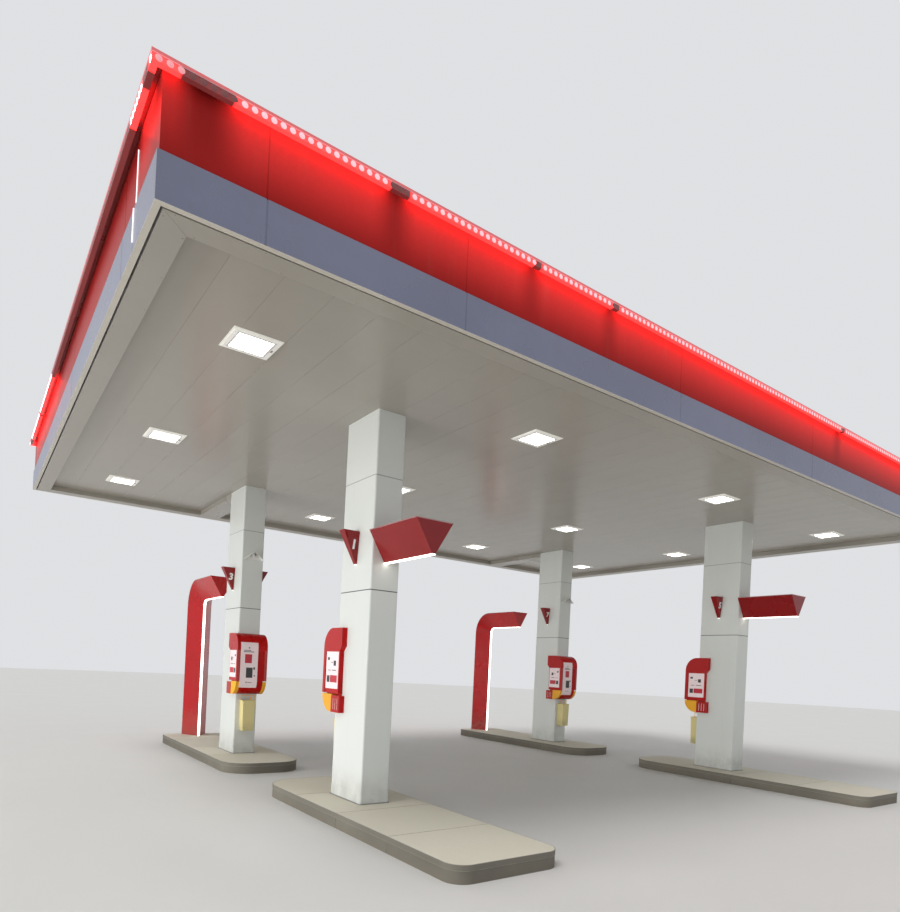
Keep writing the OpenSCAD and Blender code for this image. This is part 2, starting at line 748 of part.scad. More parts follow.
// A unit wraps round the inner face of its column. Its lower ends are notched for the pockets, and behind each
// pocket a slotted towel holder stands on the column's side.
module service_unit(n) {
    body_half = unit_half - unit_rim;
    notch = clad_width / 2 + unit_plate;
    holder_width = unit_side + holder_out;
    holder_length = unit_wrap + unit_cap_back - pocket_back;
    slot = 14;
    color("red") at_unit(n) {
        difference() {
            union() {
                across(body_half, 2 * body_half) unit_outline(unit_wrap, 0);
                across(unit_half, 2 * unit_half) unit_cap_section();
                for (x = [unit_half, -body_half]) across(x, unit_rim) unit_rim_section();
            }
            translate([0, face, -1]) block(clad_width, clad_depth, unit_height + 2 * unit_rim_out + 2);
            for (s = [-1, 1]) translate([s * (notch + unit_side), 0, -1])
                block(2 * unit_side, 2 * (unit_reach + unit_wrap), notch_top + 1);
        }
        for (s = [0, 1]) mirror([s, 0, 0])
            translate([clad_width / 2, pocket_back, notch_top - 2 * pocket_gap - holder_height]) difference() {
                cube([holder_width, holder_length, holder_height]);
                for (i = [1:3]) translate([holder_width, i * holder_length / 4, 30])
                    block(2 * slot, slot, holder_height - 60);
            }
    }
}

// Pocket in the notch at the end of a unit: open at the top, with the unit's rounded lower front
module pocket(right, width, wall) {
    across(right, width) intersection() {
        unit_outline(pocket_back - wall, -wall);
        translate([-pocket_back, 0]) square([pocket_back + unit_reach, pocket_height + wall]);
    }
}

// Tapered tub hanging on the column face
module tub(w, d, h, wall) {
    low = bucket_taper / 2;
    intersection() {
        translate([0, 0, wall]) rotate([90, 0, 0]) linear_extrude(d)
            polygon([[low - w / 2, 0], [w / 2 - low, 0], [w / 2, h], [-w / 2, h]]);
        across(w / 2, w) polygon([[wall, wall], [d - wall - low, wall], [d - wall, h + wall], [wall, h + wall]]);
    }
}

module washing_kits() {
    pocket_width = unit_side - unit_plate;
    rim = 12;
    wire = 5;
    bail = bucket_gap - 20;
    bail_x = bucket_width / 2 + rim / 2;
    rod = 9;
    bucket_top = -bucket_gap;
    color("goldenrod") for (n = [1:4]) at_unit(n) {
        for (s = [0, 1]) mirror([s, 0, 0]) difference() {
            pocket(unit_half, pocket_width, 0);
            pocket(unit_half - tub_wall, pocket_width - 2 * tub_wall, tub_wall);
        }
        translate([0, 0, bucket_top - bucket_height]) difference() {
            union() {
                tub(bucket_width, bucket_depth, bucket_height, 0);
                translate([0, -bucket_depth / 2, bucket_height - rim])
                    block(bucket_width + 2 * rim, bucket_depth, rim);
            }
            tub(bucket_width - 2 * tub_wall, bucket_depth, bucket_height, tub_wall);
        }
        translate([0, -bucket_depth / 2, bucket_top]) {
            for (x = [-bail_x, bail_x]) translate([x, 0, -1]) {
                cylinder(r = wire, h = bail + 1);
                translate([0, 0, bail + 1]) sphere(wire);
            }
            translate([-bail_x, 0, bail]) rotate([0, 90, 0]) cylinder(r = wire, h = 2 * bail_x);
        }
        translate([bucket_width / 4, -bucket_depth / 2, bucket_top - bucket_height + tub_wall]) {
            cylinder(r = rod, h = bucket_height + bucket_gap / 2);
            block(bucket_width / 4, 3 * rod, 4 * rod);
        }
    }
}

// Cameras on the inner faces of the back columns: a plate, a folded hood and a round body that ends in a ball
module cameras() {
    plate = 12;
    sheet = 8;
    half = camera_hood / 2;
    ridge = camera_body / 2 + 20;
    eave = ridge - camera_hood_drop;
    color("whitesmoke") for (n = [3, 4]) at_column(n) translate([0, -face, camera_height]) rotate([90, 0, 0]) {
        linear_extrude(plate) polygon([[-half, eave], [0, ridge], [half, eave]]);
        linear_extrude(camera_reach)
            polygon([[-half, eave], [0, ridge], [half, eave], [half, eave - sheet],
                     [0, ridge - sheet], [-half, eave - sheet]]);
        cylinder(d = camera_body, h = camera_reach - 20);
        translate([0, 0, camera_reach - 20]) sphere(d = camera_body - 10);
    }
}

island(1);  // island_1
island(2);  // island_2
island(3);  // island_3
island(4);  // island_4
island_edging();
column(1);  // column_1
column(2);  // column_2
column(3);  // column_3
column(4);  // column_4
cladding(1);  // cladding_1
cladding(2);  // cladding_2
cladding(3);  // cladding_3
cladding(4);  // cladding_4
main_beam(-1);  // main_beam_left
main_beam(1);  // main_beam_right
purlins();
soffit_pans();
soffit_trim();
gutter_back();
drain_covers();
downpipes();
fascia_frame();
fascia_posts();
red_fascia(0);  // red_fascia_front
red_fascia(1);  // red_fascia_right
red_fascia(2);  // red_fascia_back
red_fascia(3);  // red_fascia_left
lower_band(0);  // lower_band_front
lower_band(1);  // lower_band_right
lower_band(2);  // lower_band_back
lower_band(3);  // lower_band_left
light_visor();
light_bar_ring();  // light_bar
luminaires();
lamp_lenses();
wedge_sign(1);  // wedge_sign_1
wedge_sign(2);  // wedge_sign_2
arch(3);  // arch_3
arch(4);  // arch_4
number_flags(1);  // number_flags_1
number_flags(2);  // number_flags_2
number_flags(3);  // number_flags_3
number_flags(4);  // number_flags_4
service_unit(1);  // service_unit_1
service_unit(2);  // service_unit_2
service_unit(3);  // service_unit_3
service_unit(4);  // service_unit_4
washing_kits();
cameras();
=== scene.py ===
"""Dresses the forecourt canopy: paints its frame, adds its lights, signs and small fittings, and sets the studio."""
import math

import bmesh
import bpy
from mathutils import Matrix, Vector


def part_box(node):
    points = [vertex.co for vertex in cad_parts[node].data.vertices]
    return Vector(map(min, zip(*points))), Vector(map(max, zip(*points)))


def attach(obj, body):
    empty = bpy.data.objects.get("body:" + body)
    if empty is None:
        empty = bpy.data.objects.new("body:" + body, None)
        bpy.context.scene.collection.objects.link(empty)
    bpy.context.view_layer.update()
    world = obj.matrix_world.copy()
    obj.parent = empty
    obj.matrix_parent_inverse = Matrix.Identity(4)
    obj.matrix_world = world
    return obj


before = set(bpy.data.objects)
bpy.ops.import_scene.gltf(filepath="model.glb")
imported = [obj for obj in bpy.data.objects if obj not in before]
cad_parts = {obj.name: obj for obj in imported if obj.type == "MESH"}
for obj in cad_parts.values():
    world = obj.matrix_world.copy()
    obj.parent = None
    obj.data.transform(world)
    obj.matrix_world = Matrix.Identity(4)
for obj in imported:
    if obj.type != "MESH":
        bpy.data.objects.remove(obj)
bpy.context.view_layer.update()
COLUMNS = (1, 2, 3, 4)
BACK_COLUMNS = (3, 4)
UP, DOWN = (0, 0, 1), (0, 0, -1)
# Each side of the roof: the axis that it runs along (0 for X, 1 for Y) and the way that it faces
SIDES = {"front": (0, -1), "back": (0, 1), "left": (1, -1), "right": (1, 1)}
# Places of the luminaires, half of what a lamp and a column take out of the soffit, and the width of one soffit pan
LAMP_X = (-5.515, -1.96, 1.96, 5.515)
LAMP_Y = (-3.095, 0.19, 3.095)
LAMP_HOLE = (0.226, 0.226)
COLUMN_HOLE = (0.19, 0.375)
PAN_WIDTH = 0.406
# Side of a lamp's lens with its clearance, and from the lamp's middle to its latch and its screws
LENS_SIDE = 0.322
LATCH = (0.182, 0.2)
SCREW = (0.19, 0.15)
# Stretches of the light bar that have failed or are faint, along X at the front and along Y at the left
FAILED = {"front": ((-6.57, -6.24), (-5.07, -4.9), (-3.61, -3.52), (-2.57, -2.48), (2.23, 2.32)),
          "left": ((-4.66, -4.5), (-4.1, 1.1), (2.81, 2.91), (4.35, 4.7))}
FAINT = {"front": ((-6.75, -6.57),)}
# How far the lower face of an arch's arm lies under its top, and the radius of its bend
ARM_DEPTH = 0.3775
ARCH_BEND = 0.5
# How far lit strips and edging stand proud of a sign
PROUD = 0.0015
# The foot skirt of the cladding stands this far out from the sheet above it. The two joints of the cladding, each
# with its bottom, top and tone
SKIRT = 0.005
COLUMN_JOINTS = ((2.5695, 2.5805, (0.08, 0.085, 0.09)), (3.8605, 3.8695, (0.3, 0.31, 0.3)))
# Numbers on the left and right flag of each column, and how far their middles lie under the flag's top and
# beside the cladding. The faces of a flag slope in to a lower edge of this thickness
FLAG_NUMBERS = {1: "12", 2: "56", 3: "34", 4: "78"}
NUMBER_DROP = 0.158
NUMBER_OUT = 0.064
FLAG_FOOT = 0.045
# Service unit: from the column's middle to the cladding, from there to the unit's front, its foot and top, the
# radius that rounds the front to both, and half its width
CLAD_DEPTH = 0.37
UNIT_DEPTH = 0.218
UNIT_FOOT, UNIT_TOP = 1.15, 2.145
UNIT_ROUND = 0.222
UNIT_HALF = 0.2405
# Its front panel, the rims beside that and its end panels, each as two places across, bottom and top
FRONT_BOARD = (0.197, -0.09, 1.262, 2.005)
RIM = (0.2075, 0.2395, 1.375, 1.874)
END_BOARD = (0.156, -0.165, 1.425, 1.868)
# Plain marks on the front panels and the end panels: tone, then the same four values
FRONT_MARKS = (("red", 0.126, 0.011, 1.665, 1.81), ("dark", 0.1, -0.008, 1.425, 1.592),
               ("dark", 0.07, 0.05, 1.905, 1.925), ("dark", 0.15, 0.03, 1.868, 1.878),
               ("dark", 0.15, -0.02, 1.845, 1.856), ("dark", -0.02, -0.045, 1.56, 1.60),
               ("dark", -0.03, -0.05, 1.45, 1.47), ("dark", 0.1, 0.085, 1.34, 1.36),
               ("dark", 0.07, 0.0, 1.345, 1.352))
END_MARKS = (("dark", 0.12, 0.07, 1.765, 1.8), ("dark", 0.03, -0.02, 1.735, 1.742), ("dark", -0.04, -0.1, 1.70, 1.76),
             ("dark", 0.1, 0.03, 1.64, 1.648), ("red", 0.04, -0.14, 1.5, 1.585), ("dark", 0.125, 0.055, 1.5, 1.58),
             ("dark", 0.0, -0.11, 1.64, 1.65))
# Places of the paper towels behind the cladding's face, and their bottom and top
TOWELS = (0.086, 0.1375, 0.189)
TOWEL_BOTTOM, TOWEL_TOP = 1.182, 1.314
# Height where the washing buckets end below the pockets, and of the cameras' lenses
BUCKET_TOP = 1.0545
CAMERA_HEIGHT = 3.46
# Half distances between the bolts where a purlin or a column cap meets a beam, and the sheets that they go through
PURLIN_BOLTS = (0.062, 0.028)
CAP_BOLTS = (0.062, 0.07)
FLANGE, PURLIN_SHEET = 0.014, 0.01
PURLINS = 8
# Tones that come back: dirt, rust, the worn red of the signs, and the painted glow on the red panels that stands in for
# the bar's light
DIRT = (0.16, 0.14, 0.11, 1)
RUST = (0.3, 0.14, 0.07)
WORN_RED = (0.82, 0.28, 0.26)
PAINTED_WASH_GLOW = (1, 0.055, 0.05)

bl_info = {
    "name": "Forecourt canopy dressing",
    "version": (1, 0, 0),
    "blender": (4, 5, 0),
    "location": "View3D > Sidebar > Canopy",
    "description": "Paints a forecourt canopy and adds its lights, signs and small fittings",
    "category": "Object",
}


def linear(red, green, blue):
    """Linear colour of a paint given as 0 to 255 display values."""
    return tuple((c / 255 / 12.92) if c <= 10 else ((c / 255 + 0.055) / 1.055) ** 2.4 for c in (red, green, blue))


def colour_property(name, rgb, text):
    return bpy.props.FloatVectorProperty(name=name, description=text, subtype="COLOR", size=3, min=0, max=1,
                                         default=linear(*rgb))


def length_property(name, metres, text):
    return bpy.props.FloatProperty(name=name, description=text, default=metres, min=0, unit="LENGTH", precision=4)


def angle_property(name, degrees, text):
    return bpy.props.FloatProperty(name=name, description=text, default=math.radians(degrees), subtype="ANGLE")


class CanopyPaints(bpy.types.PropertyGroup):
    """Colours of the canopy's finishes."""
    fascia_red: colour_property("Fascia red", (160, 36, 34), "Gloss red of the upper fascia and the coping")
    band_silver: colour_property("Band silver", (120, 124, 145), "Blue-grey of the lower fascia band")
    soffit_white: colour_property("Soffit white", (164, 159, 149), "Off-white of the soffit pans and trim")
    column_white: colour_property("Column white", (216, 219, 214), "White of the column cladding")
    sign_red: colour_property("Sign red", (138, 16, 20), "Deep red of the signs and number flags")
    arch_red: colour_property("Arch red", (188, 22, 26), "Red of the arches")
    unit_red: colour_property("Unit red", (182, 14, 14), "Red of the service units")
    kit_yellow: colour_property("Kit yellow", (240, 172, 36), "Yellow of the pockets at the units")
    bucket_yellow: colour_property("Bucket yellow", (222, 208, 148), "Pale yellow of the washing buckets")
    panel_white: colour_property("Panel white", (250, 230, 231), "Pale face of the panels on the service units")
    concrete: colour_property("Concrete", (200, 195, 178), "Worn concrete of the island tops")
    kerb: colour_property("Kerb", (114, 110, 99), "Stained sides of the islands and their edging")
    steel: colour_property("Roof steel", (118, 122, 128), "Primed steel of the beams, purlins and columns")
    zinc: colour_property("Zinc", (160, 164, 168), "Zinc coat of the gutter, fascia frame and bolts")
    light_red: colour_property("Module light", (255, 88, 94), "Light of the small lamps under the coping")
    light_white: colour_property("Lamp light", (255, 250, 240), "Light of the luminaires and lit sign edges")


class CanopyFittings(bpy.types.PropertyGroup):
    """Sizes of the small fittings."""
    module_pitch: length_property("Module pitch", 0.066, "Distance between two small lamps of the light bar")
    module_radius: length_property("Module radius", 0.022, "Radius of one small lamp of the light bar")
    joiner_inset: length_property("Joiner inset", 0.004, "How far a joiner stands behind the fascia panels")
    joiner_thick: length_property("Joiner thickness", 0.003, "Thickness of a joiner between two panels")
    rivet: length_property("Rivet radius", 0.006, "Radius of the rivet heads")
    rivet_pitch: length_property("Rivet pitch", 0.62, "Largest distance between rivets on the trim and coping")
    bolt: length_property("Bolt size", 0.024, "Size over the flats of the bolt heads in the roof steel")
    bezel: length_property("Bezel width", 0.016, "Width of the bezel round a lamp lens")
    trim: length_property("Edge trim", 0.009, "Side of the trim along the upper edges of signs and arches")
    sign_lens: length_property("Sign lens", 0.042, "Width of the lit strip along the lower edge of a sign")
    digit: length_property("Digit size", 0.15, "Size setting of the flag numbers")
    board: length_property("Board thickness", 0.0105, "Thickness of the panel on the front of a service unit")
    seam: length_property("Seam strip", 0.0034, "Width of the strips in the joints of the soffit")
    sealant: length_property("Sealant bead", 0.012, "Width of the bead round the foot of a column")


class CanopyStudio(bpy.types.PropertyGroup):
    """Camera and floor."""
    lens: bpy.props.FloatProperty(name="Lens", description="Focal length for a 36 mm sensor", default=26.261,
                                  min=8, max=200)
    eye: bpy.props.FloatVectorProperty(name="Eye", description="Place of the camera", subtype="TRANSLATION", size=3,
                                       unit="LENGTH", default=(-7.4931, -9.1391, 1.7242))
    heading: angle_property("Heading", 53.9427, "Turn of the camera from +X towards +Y")
    pitch: angle_property("Pitch", 0.1276, "Upward tilt of the camera")
    roll: angle_property("Roll", 2.7608, "Roll of the camera about its view")
    shift: bpy.props.FloatVectorProperty(name="Shift", description="Lens shift right and up", size=2,
                                         default=(-0.0011, 0.2322))
    floor_colour: colour_property("Floor", (200, 199, 195), "Plain floor under the canopy")


def adjust(thing, **settings):
    """Sets several settings of a thing."""
    for name, value in settings.items():
        setattr(thing, name, value)
    return thing


def feed(tree, made, feeds):
    """Feeds a node's inputs with values or with other nodes' sockets."""
    for name, value in feeds.items():
        if isinstance(value, bpy.types.NodeSocket):
            tree.links.new(value, made.inputs[name])
        else:
            made.inputs[name].default_value = value
    return made


def node(tree, kind, feeds=None, **settings):
    """Adds a shader node."""
    return feed(tree, adjust(tree.nodes.new("ShaderNode" + kind), **settings), feeds or {})


def maths(tree, operation, first, second=0.0, clamp=False):
    return node(tree, "Math", {0: first, 1: second}, operation=operation, use_clamp=clamp).outputs[0]


def times(tree, first, second):
    return maths(tree, "MULTIPLY", first, second)


def blend(tree, mask, first, second):
    """Colour that runs from the first to the second as the mask rises from 0 to 1."""
    return node(tree, "Mix", {0: mask, 6: first, 7: second}, data_type="RGBA").outputs[2]


def ramp(tree, value, low, high, start=0.0, end=1.0):
    """Smooth change from start to end while the value goes from low to high."""
    return node(tree, "MapRange", {0: value, 1: low, 2: high, 3: start, 4: end},
                interpolation_type="SMOOTHSTEP").outputs[0]


def place_of(tree):
    return node(tree, "TexCoord").outputs["Object"]


def axis_of(tree, letter):
    return node(tree, "SeparateXYZ", {0: place_of(tree)}).outputs[letter]


def noise(tree, place, scale, detail, rough=0.5):
    """Cloudy values that change over a place."""
    return node(tree, "TexNoise", {"Vector": place, "Scale": scale, "Detail": detail, "Roughness": rough}).outputs[0]


def toned(colour, share, more=0.0):
    """Colour made darker or lighter."""
    return tuple(min(1, c * share + more) for c in colour)


def effect(title, **inputs):
    """Turns a function that wires masks into a node group, which is made on first use and placed with own values."""
    def shared(wire):
        def placed(tree, **values):
            group = bpy.data.node_groups.get(title)
            if group is None:
                group = bpy.data.node_groups.new(title, "ShaderNodeTree")
                socket = group.interface.new_socket
                for name, value in inputs.items():
                    socket(name=name, in_out="INPUT", socket_type="NodeSocketFloat").default_value = value
                masks = wire(group, group.nodes.new("NodeGroupInput").outputs)
                for name in masks:
                    socket(name=name, in_out="OUTPUT", socket_type="NodeSocketFloat")
                feed(group, group.nodes.new("NodeGroupOutput"), masks)
            return feed(tree, node(tree, "Group", node_tree=group), values).outputs
        return placed
    return shared


@effect("mottle", Scale=1.0)
def mottle(tree, given):
    """Clouds, grain and specks, each from 0 to 1."""
    masks = {}
    for name, scale, detail in (("Clouds", 0.8, 4), ("Grain", 13, 5), ("Specks", 150, 2)):
        size = times(tree, given["Scale"], scale)
        masks[name] = ramp(tree, noise(tree, place_of(tree), size, detail, 0.6), 0.28, 0.72)
    return masks


@effect("rain runs", Scale=9.0)
def rain_runs(tree, given):
    """Streaks that run down upright faces."""
    drawn = node(tree, "VectorMath", {0: place_of(tree), 1: (1, 1, 0.06)}, operation="MULTIPLY").outputs[0]
    fine = noise(tree, drawn, given["Scale"], 6, 0.7)
    patch = noise(tree, place_of(tree), 1.7, 3)
    return {"Runs": times(tree, ramp(tree, fine, 0.5, 0.74), ramp(tree, patch, 0.35, 0.65))}


@effect("worn edges", Radius=0.005)
def worn_edges(tree, given):
    """Edges where the finish has worn, broken up by grain."""
    rounded = node(tree, "Bevel", {"Radius": given["Radius"]}, samples=4).outputs[0]
    flat = node(tree, "NewGeometry").outputs["Normal"]
    turn = node(tree, "VectorMath", {0: rounded, 1: flat}, operation="DOT_PRODUCT").outputs["Value"]
    edge = maths(tree, "MULTIPLY", maths(tree, "SUBTRACT", 1.0, turn), 7.0, clamp=True)
    chips = noise(tree, place_of(tree), 11, 6, 0.7)
    return {"Edges": times(tree, edge, ramp(tree, chips, 0.3, 0.62, 0.35, 1.0))}


@effect("splash", Ground=0.0, Reach=0.5)
def splash(tree, given):
    """Dirt splashed up from the ground, fading with height."""
    height = maths(tree, "SUBTRACT", axis_of(tree, "Z"), given["Ground"])
    fade = ramp(tree, maths(tree, "DIVIDE", height, given["Reach"]), 1.0, 0.0)
    patch = noise(tree, place_of(tree), 5, 6, 0.65)
    return {"Dirt": times(tree, fade, ramp(tree, patch, 0.25, 0.7, 0.25, 1.0))}


@effect("spangle", Scale=40.0)
def spangle(tree, given):
    """Crystals of a zinc coat."""
    cells = node(tree, "TexVoronoi", {"Vector": place_of(tree), "Scale": given["Scale"]}).outputs["Color"]
    return {"Tone": node(tree, "SeparateColor", {0: cells}).outputs[0]}


def upward(tree):
    """Mask of the faces that look up."""
    up = node(tree, "SeparateXYZ", {0: node(tree, "NewGeometry").outputs["Normal"]}).outputs["Z"]
    return ramp(tree, up, 0.5, 0.8)


def stretch(letter, low, high, soft=0.01):
    """Mask of the part between two places along an axis."""
    def mask(tree):
        along = axis_of(tree, letter)
        return times(tree, ramp(tree, along, low - soft, low + soft), ramp(tree, along, high + soft, high - soft))
    return mask


def beyond(letter, centre, reach, soft=0.002):
    """Mask of what lies further than a reach from a centre and from its mirror image."""
    def mask(tree):
        away = maths(tree, "ABSOLUTE", axis_of(tree, letter))
        away = maths(tree, "ABSOLUTE", maths(tree, "SUBTRACT", away, centre))
        return ramp(tree, away, reach - soft, reach + soft)
    return mask


def outer_rim(name, inset, soft=0.002):
    """Mask of what lies within an inset of the four outer sides of a frame part."""
    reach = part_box(name)[1]

    def mask(tree):
        sides = [beyond(letter, 0, reach[i] - inset, soft)(tree) for i, letter in enumerate("XY")]
        return maths(tree, "MAXIMUM", *sides)
    return mask


def working(tree, depth=0.06, soft=0.01):
    """Mask of the stretches of the light bar that still give light, down to a depth behind its face."""
    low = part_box("light_bar")[0]
    dead = None
    for side, letter, across, face in (("front", "X", "Y", low[1]), ("left", "Y", "X", low[0])):
        near = stretch(across, face - 1, face + depth)(tree)
        for first, last in FAILED[side]:
            span = times(tree, near, stretch(letter, first, last, soft)(tree))
            dead = span if dead is None else maths(tree, "MAXIMUM", dead, span)
    return maths(tree, "SUBTRACT", 1.0, dead)


def wash(tree):
    """Mask of the painted glow on the outer faces of the red panels, strongest at their top, standing in for the light
    that the bar sheds down them.
    """
    skin, soft = 0.003, 0.001
    low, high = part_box("red_fascia_front")
    height = ramp(tree, axis_of(tree, "Z"), low[2] - 0.04, high[2] - 0.04)
    ends = outer_rim("red_fascia_right", skin, soft)(tree)
    front = beyond("Y", 0, -low[1] - skin, soft)(tree)
    lit = times(tree, height, working(tree, 0.2, 0.14))
    return times(tree, lit, maths(tree, "MAXIMUM", ends, front))


def finish(name, colour, rough, clouds=0.06, runs=0.0, worn=0.0, edge=(0.75, 0.75, 0.72), splashed=0.0, ground=0.16,
           reach=0.55, bump=0.25, depth=0.00012, metallic=0.0, coat=0.0, shine=0.5, marks=(), tone=None):
    """Finish with cloudy colour, dirt, wear, uneven gloss and a fine relief of a given depth.

    rough is the roughness where the clouds are dark and where they are light, edge the colour of worn edges, tone
    the size of zinc crystals, and marks holds pairs of a mask and a colour, laid over the base before the dirt."""
    paint = bpy.data.materials.new(name)
    paint.use_nodes = True
    tree = paint.node_tree
    veil = mottle(tree, Scale=1.0)
    dark, light = toned(colour, 1 - 1.6 * clouds), toned(colour, 1 + 1.2 * clouds)
    shade = blend(tree, veil["Clouds"], (*dark, 1), (*light, 1))
    if tone:
        crystal = ramp(tree, spangle(tree, Scale=tone)["Tone"], 0.0, 1.0, 0.0, 0.35)
        shade = blend(tree, crystal, shade, (*toned(colour, 0.55), 1))
    for mask, over in marks:
        shade = blend(tree, mask(tree), shade, (*over, 1))
    soil = times(tree, rain_runs(tree, Scale=9.0)["Runs"], runs) if runs else None
    if splashed:
        low = times(tree, splash(tree, Ground=ground, Reach=reach)["Dirt"], splashed)
        soil = low if soil is None else maths(tree, "ADD", soil, low, clamp=True)
    gloss = ramp(tree, veil["Clouds"], 0.1, 0.9, *rough)
    if soil is not None:
        shade = blend(tree, soil, shade, DIRT)
        gloss = maths(tree, "ADD", gloss, times(tree, soil, 0.3), clamp=True)
    if worn:
        shade = blend(tree, times(tree, worn_edges(tree, Radius=0.005)["Edges"], worn), shade, (*edge, 1))
    grain = veil["Grain" if depth > 0.0005 else "Specks"]
    relief = node(tree, "Bump", {"Strength": bump, "Distance": depth, "Height": grain}).outputs[0]
    feed(tree, tree.nodes["Principled BSDF"], {
        "Base Color": shade, "Roughness": gloss, "Normal": relief, "Metallic": metallic,
        "Specular IOR Level": shine, "Coat Weight": coat, "Coat Roughness": 0.08})
    return paint


def glowing(paint, colour, strength, mask=None):
    """Makes a finish give light, everywhere or where its mask says."""
    tree = paint.node_tree
    glow = blend(tree, mottle(tree, Scale=3.0)["Grain"], (*toned(colour, 0.9), 1), (*colour, 1))
    if mask:
        glow = blend(tree, mask(tree), (0, 0, 0, 1), glow)
    feed(tree, tree.nodes["Principled BSDF"], {"Emission Color": glow, "Emission Strength": strength})
    return paint


def prisms(paint, pitch):
    """Adds the fine square prisms of a moulded diffuser."""
    tree = paint.node_tree
    ridges = [maths(tree, "PINGPONG", maths(tree, "DIVIDE", axis_of(tree, letter), pitch), 0.5) for letter in "XY"]
    feed(tree, tree.nodes["Bump"], {"Height": times(tree, *ridges), "Distance": 0.003, "Strength": 0.8})
    return paint


def rotation(angle, axis):
    return Matrix.Rotation(angle, 4, axis)


def mesh_of(name, shape):
    """Turns a finished shape into a mesh."""
    mesh = bpy.data.meshes.new(name)
    shape.to_mesh(mesh)
    shape.free()
    return mesh


def piece(name, shape, paint, radius=0.0, segments=2):
    """Makes an object of a shape, with its sharp edges rounded, and fixes it to the canopy."""
    bmesh.ops.remove_doubles(shape, verts=shape.verts, dist=1e-6)
    bmesh.ops.recalc_face_normals(shape, faces=shape.faces)
    if radius:
        sharp = [e for e in shape.edges if len(e.link_faces) == 2 and e.calc_face_angle() > math.radians(40)]
        bmesh.ops.bevel(shape, geom=sharp, offset=radius, offset_type="OFFSET", affect="EDGES", segments=segments,
                        profile=0.5, material=-1, clamp_overlap=True)
    mesh = mesh_of(name, shape)
    mesh.shade_smooth()
    mesh.set_sharp_from_angle(angle=math.radians(35))
    mesh.materials.append(paint)
    made = bpy.data.objects.new(name, mesh)
    bpy.context.scene.collection.objects.link(made)
    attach(made, "root")


def bar(shape, one, two):
    """Block between two opposite corners."""
    low, high = (Vector([end(pair) for pair in zip(one, two)]) for end in (min, max))
    bmesh.ops.create_cube(shape, size=1, matrix=Matrix.Translation((low + high) / 2) @
                          Matrix.Diagonal((*(high - low), 1)))


def plate(shape, centre, width, height, upright=False, cells=(1, 1)):
    """Flat plate, lying or upright; returns its vertices."""
    turn = rotation(math.radians(90 if upright else 0), "X")
    return bmesh.ops.create_grid(shape, x_segments=cells[0], y_segments=cells[1], size=0.5, matrix=(
        Matrix.Translation(centre) @ turn @ Matrix.Diagonal((width, height, 1, 1))))["verts"]


def faces_at(verts):
    """Faces that touch some vertices, each once and always in the same order."""
    return list(dict.fromkeys(face for vert in verts for face in vert.link_faces))


def only(parts, kind):
    return [part for part in parts if isinstance(part, kind)]


def extrude(shape, faces, way):
    """Extrudes faces along a way and returns their moved copies."""
    raised = bmesh.ops.extrude_face_region(shape, geom=faces)["geom"]
    bmesh.ops.translate(shape, vec=way, verts=only(raised, bmesh.types.BMVert))
    return only(raised, bmesh.types.BMFace)


def swing(shape, faces, centre, axis, angle, steps):
    """Sweeps the one face of a list round a centre and returns its last copy, also in a list."""
    face, = faces
    swept = bmesh.ops.spin(shape, geom=[face, *face.edges, *face.verts], cent=centre, axis=axis, dvec=(0, 0, 0),
                           angle=angle, steps=steps, use_merge=False, use_duplicate=False)
    return only(swept["geom_last"], bmesh.types.BMFace)


def raise_rim(shape, face, width, height):
    """Turns a flat face into a raised frame along its edge."""
    rim = bmesh.ops.inset_region(shape, faces=[face], thickness=width, use_boundary=True, use_even_offset=True)
    bmesh.ops.delete(shape, geom=[face], context="FACES_ONLY")
    extrude(shape, rim["faces"], (0, 0, height))


def clear_inside(shape):
    """Deletes the faces left across the inside of a swept shape."""
    bmesh.ops.remove_doubles(shape, verts=shape.verts, dist=1e-6)
    inner = [f for f in shape.faces if all(len(e.link_faces) > 2 for e in f.edges)]
    bmesh.ops.delete(shape, geom=inner, context="FACES_ONLY")


def dome(radius, height, sides=8):
    """Mesh of a low round head that looks up, cut off just under its middle; the height is a share of the radius."""
    shape = bmesh.new()
    bmesh.ops.create_uvsphere(shape, u_segments=sides, v_segments=6, radius=radius,
                              matrix=Matrix.Diagonal((1, 1, height, 1)))
    bmesh.ops.bisect_plane(shape, geom=[*shape.verts, *shape.edges, *shape.faces], plane_co=(0, 0, -radius * 0.1),
                           plane_no=DOWN, clear_outer=True)
    bmesh.ops.holes_fill(shape, edges=[e for e in shape.edges if e.is_boundary])
    return mesh_of("head", shape)


def hex_bolt(across):
    """Mesh of a bolt head on its washer, looking up."""
    shape = bmesh.new()
    for sides, radius, low, high in ((16, across * 0.85, 0, across * 0.13),
                                     (6, across * 0.577, across * 0.13, across * 0.75)):
        bmesh.ops.create_cone(shape, cap_ends=True, segments=sides, radius1=radius, radius2=radius * 0.96,
                              depth=high - low, matrix=Matrix.Translation((0, 0, (low + high) / 2)))
    return mesh_of("bolt", shape)


def stamp(shape, mesh, place, normal=UP):
    """Adds a copy of a small mesh at a place, turned towards a normal."""
    turn = Vector(UP).rotation_difference(Vector(normal)).to_matrix().to_4x4()
    copy = mesh.copy()
    copy.transform(Matrix.Translation(place) @ turn)
    shape.from_mesh(copy)
    bpy.data.meshes.remove(copy)


def corners(part):
    """Lowest and highest corner of a frame part."""
    return (Vector(corner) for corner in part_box(part))


def middle(part):
    low, high = corners(part)
    return (low + high) / 2


def beside(axis, along, across, height):
    """Place at a roof side that runs along an axis."""
    return (along, across, height) if axis == 0 else (across, along, height)


def clad_half(n):
    """Half the width of a column's cladding above its skirt."""
    low, high = corners("cladding_%d" % n)
    return (high.x - low.x) / 2 - SKIRT


def spread(end, pitch):
    """Even places from one end to the other, no further apart than the pitch."""
    count = max(1, math.ceil(2 * end / pitch))
    return [-end + 2 * end * i / count for i in range(count + 1)]


